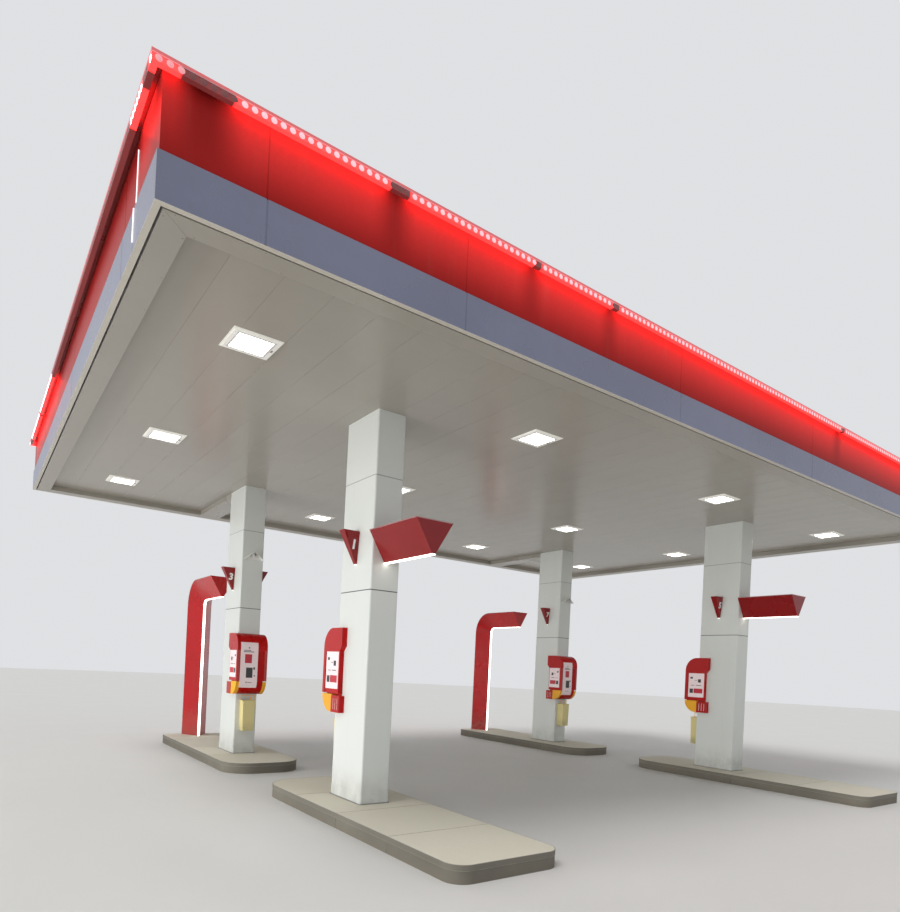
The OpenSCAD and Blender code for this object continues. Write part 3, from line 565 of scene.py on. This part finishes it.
def four_round(x, y, reach):
    """Four places round a place."""
    return [(x + i * reach[0], y + j * reach[1]) for i in (-1, 1) for j in (-1, 1)]


def gaps_between(name, axis):
    """Middles of the open joints, about 10 mm wide, between the panels of a frame part."""
    ends = sorted({round(v.co[axis], 4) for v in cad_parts[name].data.vertices})
    return [(a + b) / 2 for a, b in zip(ends, ends[1:]) if 0.006 < b - a < 0.014]


def settings(context):
    return context.scene.canopy_fittings, context.scene.canopy_paints


class CANOPY_OT_paint_frame(bpy.types.Operator):
    """Gives every part of the frame its finish"""
    bl_idname = "canopy.paint_frame"
    bl_label = "Paint the frame"

    def execute(self, context):
        paints = context.scene.canopy_paints
        unit_low, unit_high = corners("service_unit_2")
        # Painted highlight and shade: each service unit is lighter above its rims, as lit by the lamps above, and
        # darker at its ends, as in shade
        unit_ends = beyond("X", (unit_low.x + unit_high.x) / 2, (unit_high.x - unit_low.x) / 2 - 0.014)
        unit_marks = ((stretch("Z", RIM[3], UNIT_TOP + 1, 0.001), toned(paints.unit_red, 1.12)),
                      (unit_ends, toned(paints.unit_red, 0.9, 0.02)))
        buckets = ((stretch("Z", 0, BUCKET_TOP, 0.002), paints.bucket_yellow),)
        joints = [(stretch("Z", low, high, 0.0008), shade) for low, high, shade in COLUMN_JOINTS]
        rim = ((outer_rim("soffit_trim", 0.048), toned(paints.soffit_white, 1.6)),)
        sign = {"rough": (0.16, 0.28), "bump": 0.1, "shine": 0.4}
        lens = finish("lamp lens", (0.92, 0.92, 0.9), (0.15, 0.3), clouds=0.02)
        bar_lens = finish("light bar lens", (0.34, 0.07, 0.07), (0.3, 0.45), clouds=0.1, bump=0.1, shine=0.3)
        lamp_frame = finish("lamp frame", (0.8, 0.8, 0.76), (0.25, 0.4), clouds=0.03, bump=0.08)
        coping = finish("coping red", paints.fascia_red, (0.2, 0.35), clouds=0.08, runs=0.2)
        fascia = finish("fascia red", paints.fascia_red, (0.28, 0.32), clouds=0.04, runs=0.14, shine=0.04, bump=0.1)
        # Each finish goes to the frame parts whose names start with its key, and the longest key wins
        finishes = {
            "island_": finish("concrete", paints.kerb, (0.75, 0.95), clouds=0.16, splashed=0.75, ground=0, reach=0.14,
                worn=0.45, edge=(0.62, 0.6, 0.53), bump=0.7, depth=0.002, marks=((upward, paints.concrete),)),
            "island_edging": finish("kerb edging", paints.kerb, (0.45, 0.7), clouds=0.14, splashed=0.3, ground=0,
                reach=0.3, worn=0.6, edge=(0.66, 0.64, 0.57), bump=0.35),
            "column_": finish("column steel", paints.steel, (0.4, 0.6), clouds=0.12, runs=0.3, worn=0.3),
            "cladding": finish("column sheet", paints.column_white, (0.3, 0.31), clouds=0.008, runs=0.05, splashed=0.4,
                reach=0.45, bump=0.03, marks=joints),
            "main_beam": finish("beam primer", paints.steel, (0.45, 0.65), clouds=0.14, runs=0.45, worn=0.4, edge=RUST),
            "purlins": finish("purlin primer", paints.steel, (0.45, 0.65), clouds=0.14, runs=0.4, worn=0.35, edge=RUST),
            "soffit_pans": finish("soffit sheet", paints.soffit_white, (0.24, 0.25), clouds=0.015, bump=0.03),
            "soffit_trim": finish("soffit trim", paints.soffit_white, (0.3, 0.31), clouds=0.02, bump=0.03,
                marks=rim),
            "drain_covers": finish("duct sheet", paints.soffit_white, (0.22, 0.36), clouds=0.05, bump=0.1),
            "gutter_back": finish("gutter zinc", paints.zinc, (0.3, 0.5), clouds=0.1, runs=0.4, metallic=0.85, tone=24),
            "downpipes": finish("drain pipe", (0.62, 0.62, 0.6), (0.4, 0.55), clouds=0.05, runs=0.2),
            "fascia_": finish("frame zinc", paints.zinc, (0.35, 0.55), clouds=0.1, metallic=0.8, tone=30),
            # Painted glow: the red panels give red light of their own near their top, standing in for the light of the
            # bar above them
            "red_fascia": glowing(fascia, PAINTED_WASH_GLOW, 0.46, wash),
            "lower_band": finish("band silver", paints.band_silver, (0.26, 0.3), clouds=0.05, runs=0.15, metallic=0.25,
                bump=0.1),
            # Painted glow: the outer rim of the coping gives pink light of its own, standing in for the light of the
            # bar catching its edge
            "light_visor": glowing(coping, (1, 0.3, 0.32), 0.42, outer_rim("light_visor", 0.004)),
            "light_bar": glowing(bar_lens, (1, 0.013, 0.012), 5, working),
            # Painted glow: the lamp frames give faint light of their own, standing in for the light round their lenses
            "luminaires": glowing(lamp_frame, paints.light_white, 0.2),
            "lamp_lenses": prisms(glowing(lens, paints.light_white, 11), 0.012),
            "wedge_sign": finish("sign red", paints.sign_red, worn=0.25, edge=(0.8, 0.26, 0.24), **sign),
            "arch": finish("arch red", paints.arch_red, runs=0.12, splashed=0.5, reach=0.7, worn=0.25, edge=WORN_RED,
                **sign),
            "number_flags": finish("flag red", paints.sign_red, worn=0.3, edge=WORN_RED, **sign),
            "service_unit": finish("unit red", paints.unit_red, (0.22, 0.28), clouds=0.05, bump=0.1, shine=0.15,
                worn=0.35, edge=(0.88, 0.34, 0.32), marks=unit_marks),
            "washing_kits": finish("kit yellow", paints.kit_yellow, (0.4, 0.6), clouds=0.08, bump=0.15, worn=0.25,
                edge=(0.9, 0.7, 0.3), splashed=0.5, ground=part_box("washing_kits")[0][2], reach=0.2, marks=buckets),
            "cameras": finish("camera white", (0.78, 0.78, 0.74), (0.25, 0.4), clouds=0.05, bump=0.08, worn=0.3),
        }
        for name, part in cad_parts.items():
            start = max((s for s in finishes if name.startswith(s)), key=len)
            part.data.materials.clear()
            part.data.materials.append(finishes[start])
        return {"FINISHED"}


class CANOPY_OT_fascia_joiners(bpy.types.Operator):
    """Backs the open joints of the fascia with joiner strips"""
    bl_idname = "canopy.fascia_joiners"
    bl_label = "Fit the fascia joiners"

    def execute(self, context):
        sizes, paints = settings(context)
        strip = finish("joiner sheet", toned(paints.band_silver, 0.9), (0.3, 0.36), metallic=0.3)
        red = finish("joiner red", toned(paints.fascia_red, 0.8), (0.3, 0.36), clouds=0.08, shine=0.04)
        # Painted glow: the red joiners give red light of their own near their top, like the panels beside them
        glowing(red, PAINTED_WASH_GLOW, 0.36, wash)
        strip_half, filler_half, end_gap = 0.024, 0.0042, 0.006
        for kind, paint, slot in (("lower_band", strip, "band_silver"), ("red_fascia", red, "fascia_red")):
            shape = bmesh.new()
            for side, (axis, out) in SIDES.items():
                panels = "%s_%s" % (kind, side)
                low, high = corners(panels)
                face = (low if out < 0 else high)[1 - axis]
                back = face - out * (sizes.joiner_inset + 0.0002)
                for gap in gaps_between(panels, axis):
                    for half, near, far in ((strip_half, back, back - out * sizes.joiner_thick),
                                            (filler_half, face - out * 0.001, back)):
                        bar(shape, beside(axis, gap - half, near, low.z + end_gap),
                            beside(axis, gap + half, far, high.z - end_gap))
            piece("%s_joiners" % kind, shape, paint)
        # Painted glow: one joint of the left fascia and band holds a strip that gives light of its own, standing in for
        # the bright line there
        painted_joint_glow = glowing(finish("lit joint", (0.9, 0.88, 0.88), (0.3, 0.5)), (1, 0.9, 0.9), 1.2)
        shape = bmesh.new()
        low, high = corners("red_fascia_left")
        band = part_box("lower_band_left")[0]
        gap = min(gaps_between("red_fascia_left", 1))
        half, deep = 0.004, 0.006
        for face, bottom, top in ((low.x, low.z, high.z - 0.1), (band[0], band[2] + 0.07, low.z - 0.002)):
            bar(shape, (face - deep, gap - half, bottom), (face - 0.0002, gap + half, top))
        piece("lit_joint", shape, painted_joint_glow, 0.001, 1)
        return {"FINISHED"}


class CANOPY_OT_soffit_seams(bpy.types.Operator):
    """Lays a strip in each joint between two soffit pans"""
    bl_idname = "canopy.soffit_seams"
    bl_label = "Close the soffit seams"

    def execute(self, context):
        half = context.scene.canopy_fittings.seam / 2
        low, high = corners("soffit_pans")
        holes = [(x, y, *LAMP_HOLE) for x in LAMP_X for y in LAMP_Y]
        holes += [(*middle("column_%d" % n).xy, *COLUMN_HOLE) for n in COLUMNS]
        shape = bmesh.new()
        for i in range(-16, 17):
            x = i * PAN_WIDTH
            if low.x + 0.01 < x < high.x - 0.01:
                start = low.y + 0.002
                stops = sorted((y - half_y, y + half_y) for at_x, y, half_x, half_y in holes if abs(at_x - x) < half_x)
                for stop, resume in (*stops, (high.y - 0.002, 0)):
                    bar(shape, (x - half, start, low.z + 0.0008), (x + half, stop, low.z + 0.0028))
                    start = resume
        seam = finish("seam strip", toned(context.scene.canopy_paints.soffit_white, 0.86), (0.2, 0.3), clouds=0.05)
        piece("soffit_seams", shape, seam)
        return {"FINISHED"}


class CANOPY_OT_rivets(bpy.types.Operator):
    """Rivets the edge trim and the coping"""
    bl_idname = "canopy.rivets"
    bl_label = "Set the rivets"

    def execute(self, context):
        sizes, paints = settings(context)
        rivet = dome(sizes.rivet, 0.45)
        for name, inset, slot, paint, normal in (
                ("soffit_trim", 0.078, "soffit_white", paints.soffit_white, DOWN),
                ("soffit_trim", 0.236, "soffit_white", paints.soffit_white, DOWN),
                ("light_visor", 0.03, "visor_red", paints.fascia_red, UP)):
            low, high = corners(name)
            z = low.z if normal == DOWN else high.z
            shape = bmesh.new()
            for axis, out in SIDES.values():
                row = out * (high[1 - axis] - inset)
                for along in spread(high[axis] - inset - 0.06, sizes.rivet_pitch):
                    stamp(shape, rivet, beside(axis, along, row, z), normal)
            head = finish("%s rivet %d" % (name, inset * 1000), toned(paint, 0.8), (0.3, 0.45), clouds=0.1)
            piece("%s_rivets_%d" % (name, inset * 1000), shape, head)
        bpy.data.meshes.remove(rivet)
        return {"FINISHED"}


class CANOPY_OT_light_modules(bpy.types.Operator):
    """Sets the small lamps of the light bar, lit, faint or failed"""
    bl_idname = "canopy.light_modules"
    bl_label = "Set the light modules"

    def execute(self, context):
        sizes, paints = settings(context)
        low, high = corners("light_bar")
        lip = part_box("light_visor")[0][2]
        module = dome(sizes.module_radius, 0.15, 12)
        edges = bmesh.new()
        shapes = {state: bmesh.new() for state in ("lit", "bright", "faint", "failed")}
        for side, (axis, out) in SIDES.items():
            face = (low if out < 0 else high)[1 - axis]
            bar(edges, beside(axis, -high[axis], face + out * 0.003, lip - 0.005),
                beside(axis, high[axis], face - out * 0.002, lip - 0.0005))
            for place in spread(high[axis] - sizes.module_pitch * 0.6, sizes.module_pitch):
                state = "bright" if side == "left" else "lit"
                for other, spans in (("faint", FAINT), ("failed", FAILED)):
                    if any(first <= place <= last for first, last in spans.get(side, ())):
                        state = other
                stamp(shapes[state], module, beside(axis, place, face, (low.z + lip) / 2), beside(axis, 0, out, 0))
        bpy.data.meshes.remove(module)
        glow = glowing(finish("bar edge", (0.8, 0.4, 0.42), (0.3, 0.4), clouds=0.1), paints.light_red, 0.5, working)
        piece("light_bar_edge", edges, glow)
        for state, light, strength in (("lit", paints.light_red, 3), ("bright", (1, 0.72, 0.74), 6),
                                       ("faint", paints.light_red, 0.4)):
            lens = glowing(finish("module " + state, (0.75, 0.5, 0.52), (0.2, 0.3), bump=0.1), light, strength)
            piece("light_modules_" + state, shapes[state], lens)
        dark = finish("module failed", (0.24, 0.07, 0.07), (0.2, 0.35), clouds=0.15, bump=0.1)
        piece("light_modules_failed", shapes["failed"], dark)
        return {"FINISHED"}


class CANOPY_OT_lamp_fittings(bpy.types.Operator):
    """Fits a bezel, a latch and two screws to each luminaire"""
    bl_idname = "canopy.lamp_fittings"
    bl_label = "Fit the luminaires"

    def execute(self, context):
        width = context.scene.canopy_fittings.bezel
        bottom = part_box("luminaires")[0][2]
        inner = LENS_SIDE - 0.008
        outer = LENS_SIDE + 2 * width
        bezels, latches = bmesh.new(), bmesh.new()
        screw = dome(0.005, 0.45)
        for x in LAMP_X:
            for y in LAMP_Y:
                face, = faces_at(plate(bezels, (x, y, bottom - 0.003), outer, outer))
                raise_rim(bezels, face, (outer - inner) / 2, 0.004)
                bar(latches, (x + LATCH[0], y - 0.02, bottom - 0.004), (x + LATCH[1], y + 0.02, bottom + 0.001))
                for s in (-1, 1):
                    stamp(latches, screw, (x - SCREW[0], y + s * SCREW[1], bottom), DOWN)
        bpy.data.meshes.remove(screw)
        white = finish("bezel white", (0.78, 0.78, 0.75), (0.2, 0.35), clouds=0.03)
        steel = finish("latch steel", (0.5, 0.5, 0.5), (0.25, 0.4), metallic=0.9)
        piece("lamp_bezels", bezels, white, 0.001, 1)
        piece("lamp_latches", latches, steel, 0.001, 1)
        return {"FINISHED"}


class CANOPY_OT_sign_lights(bpy.types.Operator):
    """Lights the lower edges of signs, arches and flags and trims their upper edges"""
    bl_idname = "canopy.sign_lights"
    bl_label = "Light the signs"

    def execute(self, context):
        sizes, paints = settings(context)
        pale = ((0.9, 0.88, 0.86), (0.3, 0.4))
        glow = glowing(finish("sign light", *pale), paints.light_white, 4)
        dim = glowing(finish("flag light", *pale), paints.light_white, 2.5)
        edge = finish("sign edging", toned(paints.sign_red, 0.9, 0.2), (0.25, 0.35), clouds=0.08, worn=0.3,
                      edge=(0.9, 0.5, 0.5))
        half, side = sizes.sign_lens / 2, sizes.trim
        for name in ("wedge_sign_1", "wedge_sign_2"):
            low, high = corners(name)
            x = (low.x + high.x) / 2
            strip, trim = bmesh.new(), bmesh.new()
            bar(strip, (x - half, low.y - PROUD, low.z - 0.002), (x + half, high.y, low.z + 0.0095))
            piece("%s_light" % name, strip, glow, 0.002, 2)
            for outer, way in ((low.x, 1), (high.x, -1)):
                bar(trim, (outer + way * side, low.y - PROUD, high.z - side),
                    (outer - way * PROUD, high.y, high.z + PROUD))
            bar(trim, (low.x, low.y - PROUD, high.z - side), (high.x, low.y + side, high.z + PROUD))
            piece("%s_edging" % name, trim, edge, 0.002, 2)
        for name in ("arch_3", "arch_4"):
            low, high = corners(name)
            x = (low.x + high.x) / 2
            bend = Vector((x, high.y - ARCH_BEND, high.z - ARCH_BEND))
            edging_x = high.x - x - side / 2 + PROUD
            # Each strip is a small section, as its place in X, width, bottom and height, swept along the arch
            for part, paint, sections in (
                    ("light", glow, ((x, 2 * half, high.z - ARM_DEPTH, 0.012),)),
                    ("edging", edge, [(x + s * edging_x, side, high.z + PROUD - side, side) for s in (-1, 1)])):
                shape = bmesh.new()
                for at_x, width, z, tall in sections:
                    start = plate(shape, (at_x, low.y - PROUD, z + tall / 2), width, tall, upright=True)
                    arm = extrude(shape, faces_at(start), (0, bend.y - low.y + PROUD, 0))
                    leg = swing(shape, arm, bend, (1, 0, 0), math.radians(-90), 24)
                    extrude(shape, leg, (0, 0, low.z - bend.z))
                clear_inside(shape)
                piece("%s_%s" % (name, part), shape, paint, 0.002, 1)
        shape = bmesh.new()
        for n in COLUMNS:
            x, y, _ = middle("number_flags_%d" % n)
            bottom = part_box("number_flags_%d" % n)[0][2]
            near = clad_half(n) + 0.002
            for s in (-1, 1):
                bar(shape, (x + s * near, y - 0.02, bottom - 0.003), (x + s * (near + 0.017), y + 0.02, bottom + 0.004))
        piece("flag_lights", shape, dim, 0.0015, 1)
        return {"FINISHED"}


def digit_mesh(digit, size):
    """Bold slanted figure as a thin plate, facing up, with its middle at the origin."""
    curve = adjust(bpy.data.curves.new("figure", "FONT"), body=digit, size=size, shear=0.08, offset=size * 0.035,
                   extrude=0.001, align_x="CENTER", align_y="CENTER", resolution_u=3)
    holder = bpy.data.objects.new("figure", curve)
    bpy.context.scene.collection.objects.link(holder)
    seen = holder.evaluated_get(bpy.context.evaluated_depsgraph_get())
    mesh = bpy.data.meshes.new_from_object(seen)
    bpy.data.objects.remove(holder)
    bpy.data.curves.remove(curve)
    return mesh


class CANOPY_OT_flag_numbers(bpy.types.Operator):
    """Numbers the flags on both faces"""
    bl_idname = "canopy.flag_numbers"
    bl_label = "Number the flags"

    def execute(self, context):
        white = finish("figure white", (0.86, 0.85, 0.84), (0.25, 0.4), clouds=0.03, worn=0.2)
        for n in COLUMNS:
            shape = bmesh.new()
            low, high = corners("number_flags_%d" % n)
            centre = (low + high) / 2
            slope = (high.y - low.y - FLAG_FOOT) / 2 / (high.z - low.z)
            for s, digit in zip((-1, 1), FLAG_NUMBERS[n]):
                for face in (-1, 1):
                    right = Vector((-face, 0, 0))
                    up = Vector((0, face * slope, 1)).normalized()
                    out = right.cross(up)
                    y = centre.y + face * ((high.y - low.y) / 2 - slope * NUMBER_DROP)
                    place = Vector((centre.x + s * (clad_half(n) + NUMBER_OUT), y, high.z - NUMBER_DROP))
                    mesh = digit_mesh(digit, context.scene.canopy_fittings.digit)
                    mesh.transform(Matrix.Translation(place + out * 0.0005) @
                                   Matrix((right, up, out)).transposed().to_4x4())
                    shape.from_mesh(mesh)
                    bpy.data.meshes.remove(mesh)
            piece("flag_figures_%d" % n, shape, white)
        return {"FINISHED"}


def curved_board(shape, x, way, spans, front, out, thick):
    """Panel that follows the front of a service unit, flat in the middle and rounded above and below."""
    first, last, bottom, top = spans
    left, right = sorted((x + way * first, x + way * last))
    verts = plate(shape, ((left + right) / 2, front, (bottom + top) / 2), right - left, top - bottom, upright=True,
                  cells=(4, 30))
    for vert in verts:
        past = max(UNIT_FOOT + UNIT_ROUND - vert.co.z, vert.co.z - (UNIT_TOP - UNIT_ROUND), 0)
        vert.co.y -= out * (UNIT_ROUND - math.sqrt(UNIT_ROUND * UNIT_ROUND - past * past))
    extrude(shape, faces_at(verts), (0, out * thick, 0))


class CANOPY_OT_unit_fittings(bpy.types.Operator):
    """Fits the panels, their plain marks and the paper towels of the service units"""
    bl_idname = "canopy.unit_fittings"
    bl_label = "Fit the service units"

    def execute(self, context):
        paints = context.scene.canopy_paints
        board = context.scene.canopy_fittings.board
        rims, boards, dark, red, towels = (bmesh.new() for _ in range(5))
        marks = {"dark": dark, "red": red}
        # An end panel is let into the unit a little and stands out by its thickness, and a mark stands out of a panel
        let_in, end_thick, mark = 0.0005, 0.003, 0.001
        for n in COLUMNS:
            low, high = corners("service_unit_%d" % n)
            x = (low.x + high.x) / 2
            column_y = middle("column_%d" % n).y
            out = -math.copysign(1, column_y)
            face = column_y + out * CLAD_DEPTH
            front = face + out * UNIT_DEPTH
            curved_board(boards, x, out, FRONT_BOARD, front, out, board)
            for tone, first, last, bottom, top in FRONT_MARKS:
                bar(marks[tone], (x + out * first, front + out * (board - mark), bottom),
                    (x + out * last, front + out * (board + mark), top))
            for s in (-1, 1):
                curved_board(rims, x, s, RIM, front, out, 0.0075)
                end = x + s * UNIT_HALF
                panel = end + s * end_thick
                first, last, bottom, top = END_BOARD
                bar(boards, (end - s * let_in, face + out * first, bottom), (panel, face + out * last, top))
                for tone, first, last, bottom, top in END_MARKS:
                    bar(marks[tone], (panel - s * let_in, face + out * first, bottom),
                        (panel + s * mark, face + out * last, top))
                for back in TOWELS:
                    y = face - out * back
                    bar(towels, (x + s * 0.2408, y - 0.0045, TOWEL_BOTTOM), (x + s * 0.2525, y + 0.0045, TOWEL_TOP))
        rim = finish("rim red", toned(paints.unit_red, 0.9, 0.05), (0.24, 0.3), clouds=0.05, shine=0.4)
        white = finish("panel white", paints.panel_white, (0.3, 0.45), clouds=0.03, bump=0.05, worn=0.1)
        ink = finish("mark dark", (0.05, 0.045, 0.05), (0.4, 0.55), clouds=0.1)
        rose = finish("mark red", linear(196, 44, 62), (0.3, 0.45), clouds=0.1)
        paper = finish("towel paper", (0.82, 0.68, 0.68), (0.7, 0.85), clouds=0.05, bump=0.4)
        for name, shape, paint, radius in (("unit_rims", rims, rim, 0), ("unit_panels", boards, white, 0),
                                           ("unit_marks_dark", dark, ink, 0), ("unit_marks_red", red, rose, 0),
                                           ("unit_towels", towels, paper, 0.0015)):
            piece(name, shape, paint, radius, 1)
        return {"FINISHED"}


class CANOPY_OT_camera_lenses(bpy.types.Operator):
    """Gives the two cameras their dark lens and ring"""
    bl_idname = "canopy.camera_lenses"
    bl_label = "Fit the camera lenses"

    def execute(self, context):
        glass = finish("camera glass", (0.012, 0.012, 0.014), (0.04, 0.09), clouds=0.1, bump=0.02, coat=0.5)
        grey = finish("camera ring", (0.16, 0.16, 0.17), (0.35, 0.5), clouds=0.1)
        lenses, rings = bmesh.new(), bmesh.new()
        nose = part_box("cameras")[0][1] + 0.03
        for n in BACK_COLUMNS:
            centre = Vector((middle("column_%d" % n).x, nose, CAMERA_HEIGHT))
            bmesh.ops.create_uvsphere(lenses, u_segments=24, v_segments=12, radius=0.0225, matrix=(
                Matrix.Translation(centre - Vector((0, 0.0115, 0))) @ rotation(math.radians(90), "X") @
                Matrix.Diagonal((1, 1, 0.85, 1))))
            wire = bmesh.ops.create_circle(rings, cap_ends=False, segments=6, radius=0.0035, matrix=(
                Matrix.Translation(centre + Vector((0.0235, -0.0185, 0)))))["verts"]
            edges = list(dict.fromkeys(edge for vert in wire for edge in vert.link_edges))
            bmesh.ops.spin(rings, geom=edges + wire, cent=centre, axis=(0, 1, 0), angle=math.radians(360), steps=24,
                           use_merge=True, use_duplicate=False)
        piece("camera_glass", lenses, glass)
        piece("camera_rings", rings, grey)
        return {"FINISHED"}


class CANOPY_OT_steel_bolts(bpy.types.Operator):
    """Bolts the purlins and the column caps to the main beams"""
    bl_idname = "canopy.steel_bolts"
    bl_label = "Bolt the roof steel"

    def execute(self, context):
        _, high = corners("purlins")
        last = high.y - 0.05
        bolt = hex_bolt(context.scene.canopy_fittings.bolt)
        shape = bmesh.new()
        for name in ("main_beam_left", "main_beam_right"):
            for i in range(PURLINS):
                y = -last + i * 2 * last / (PURLINS - 1)
                for place in four_round(middle(name).x, y, PURLIN_BOLTS):
                    stamp(shape, bolt, (*place, high.z + FLANGE))
                    stamp(shape, bolt, (*place, high.z - PURLIN_SHEET), DOWN)
        for n in COLUMNS:
            for place in four_round(*middle("column_%d" % n).xy, CAP_BOLTS):
                stamp(shape, bolt, (*place, high.z + FLANGE))
        bpy.data.meshes.remove(bolt)
        zinc = finish("bolt zinc", context.scene.canopy_paints.zinc, (0.3, 0.45), clouds=0.1, metallic=0.9, tone=90)
        piece("steel_bolts", shape, zinc)
        return {"FINISHED"}


class CANOPY_OT_column_feet(bpy.types.Operator):
    """Seals the foot of each column cladding with a bead"""
    bl_idname = "canopy.column_feet"
    bl_label = "Seal the column feet"

    def execute(self, context):
        width = context.scene.canopy_fittings.sealant
        shape = bmesh.new()
        for n in COLUMNS:
            low, high = corners("cladding_%d" % n)
            centre = (low + high) / 2
            size = high - low
            verts = plate(shape, (centre.x, centre.y, low.z), size.x + 2 * width, size.y + 2 * width)
            rounded = bmesh.ops.bevel(shape, geom=verts, offset=0.03, offset_type="OFFSET", affect="VERTICES",
                                      segments=5, profile=0.5, material=-1)
            face = max(faces_at(rounded["verts"]), key=lambda f: f.calc_area())
            raise_rim(shape, face, width * 1.3, width)
        sealant = finish("sealant", (0.3, 0.3, 0.29), (0.5, 0.7), clouds=0.15, bump=0.3, splashed=0.4)
        piece("column_beads", shape, sealant, width * 0.45, 2)
        return {"FINISHED"}


def lamp(name, kind, turn, **values):
    """Adds a lamp, turned by a matrix that also places it."""
    made = bpy.data.objects.new(name, adjust(bpy.data.lights.new(name, kind), **values))
    made.matrix_world = turn
    bpy.context.scene.collection.objects.link(made)
    return made


class CANOPY_OT_stage(bpy.types.Operator):
    """Sets the floor, the lamps and the camera"""
    bl_idname = "canopy.stage"
    bl_label = "Set the studio"

    def execute(self, context):
        scene = context.scene
        studio = scene.canopy_studio
        shape = bmesh.new()
        bmesh.ops.create_circle(shape, cap_ends=True, segments=64, radius=60)
        floor = bpy.data.objects.new("floor", mesh_of("floor", shape))
        floor.data.materials.append(finish("studio floor", studio.floor_colour, (0.6, 0.75), clouds=0.01, bump=0.05))
        scene.collection.objects.link(floor)
        scene.world = bpy.data.worlds.new("studio")
        scene.world.use_nodes = True
        tree = scene.world.node_tree
        path = node(tree, "LightPath").outputs
        mirrored = maths(tree, "MAXIMUM", path["Is Glossy Ray"], path["Is Transmission Ray"])
        seen = maths(tree, "MAXIMUM", path["Is Camera Ray"], mirrored)
        sky = blend(tree, seen, (0.62, 0.635, 0.665, 1), (0.74, 0.75, 0.77, 1))
        feed(tree, tree.nodes["Background"], {"Color": sky})
        key_turn = rotation(math.radians(-78), "Z") @ rotation(math.radians(32), "X")
        lamp("key", "SUN", key_turn, energy=1.7, angle=math.radians(30))
        place, target = Vector((-17, -1, 1.4)), Vector((0, -0.5, 1.8))
        fill_turn = Matrix.Translation(place) @ (target - place).to_track_quat("-Z", "Y").to_matrix().to_4x4()
        fill = lamp("side fill", "AREA", fill_turn, energy=185, shape="RECTANGLE", size=11, size_y=2.4,
                    spread=math.radians(60))
        fill.visible_glossy = False
        lens = adjust(bpy.data.cameras.new("camera"), lens=studio.lens, sensor_width=36, shift_x=studio.shift[0],
                      shift_y=studio.shift[1], clip_end=300)
        scene.camera = bpy.data.objects.new("camera", lens)
        scene.camera.matrix_world = (
            Matrix.Translation(studio.eye) @ rotation(studio.heading - math.pi / 2, "Z") @
            rotation(studio.pitch + math.pi / 2, "X") @ rotation(studio.roll, "Z"))
        scene.collection.objects.link(scene.camera)
        scene.view_settings.view_transform = "Standard"
        return {"FINISHED"}


class CANOPY_PT_panel(bpy.types.Panel):
    """Lists the canopy's steps and values"""
    bl_label = "Canopy"
    bl_idname = "CANOPY_PT_panel"
    bl_space_type = "VIEW_3D"
    bl_region_type = "UI"
    bl_category = "Canopy"

    def draw(self, context):
        for step in STEPS:
            self.layout.operator(step.bl_idname)
        for name, group in GROUPS.items():
            values = getattr(context.scene, name)
            for prop in group.__annotations__:
                self.layout.prop(values, prop)


STEPS = (CANOPY_OT_stage, CANOPY_OT_paint_frame, CANOPY_OT_fascia_joiners, CANOPY_OT_soffit_seams, CANOPY_OT_rivets,
         CANOPY_OT_light_modules, CANOPY_OT_lamp_fittings, CANOPY_OT_sign_lights, CANOPY_OT_flag_numbers,
         CANOPY_OT_unit_fittings, CANOPY_OT_camera_lenses, CANOPY_OT_steel_bolts, CANOPY_OT_column_feet)
GROUPS = {"canopy_paints": CanopyPaints, "canopy_fittings": CanopyFittings, "canopy_studio": CanopyStudio}
CLASSES = (*GROUPS.values(), *STEPS, CANOPY_PT_panel)


def register():
    for cls in CLASSES:
        bpy.utils.register_class(cls)
    for name, group in GROUPS.items():
        setattr(bpy.types.Scene, name, bpy.props.PointerProperty(type=group))


def unregister():
    for name in GROUPS:
        delattr(bpy.types.Scene, name)
    for cls in reversed(CLASSES):
        bpy.utils.unregister_class(cls)


def main():
    register()
    bpy.ops.canopy.stage()
    bpy.ops.canopy.paint_frame()
    bpy.ops.canopy.fascia_joiners()
    bpy.ops.canopy.soffit_seams()
    bpy.ops.canopy.rivets()
    bpy.ops.canopy.light_modules()
    bpy.ops.canopy.lamp_fittings()
    bpy.ops.canopy.sign_lights()
    bpy.ops.canopy.flag_numbers()
    bpy.ops.canopy.unit_fittings()
    bpy.ops.canopy.camera_lenses()
    bpy.ops.canopy.steel_bolts()
    bpy.ops.canopy.column_feet()


if __name__ == "__main__":
    main()
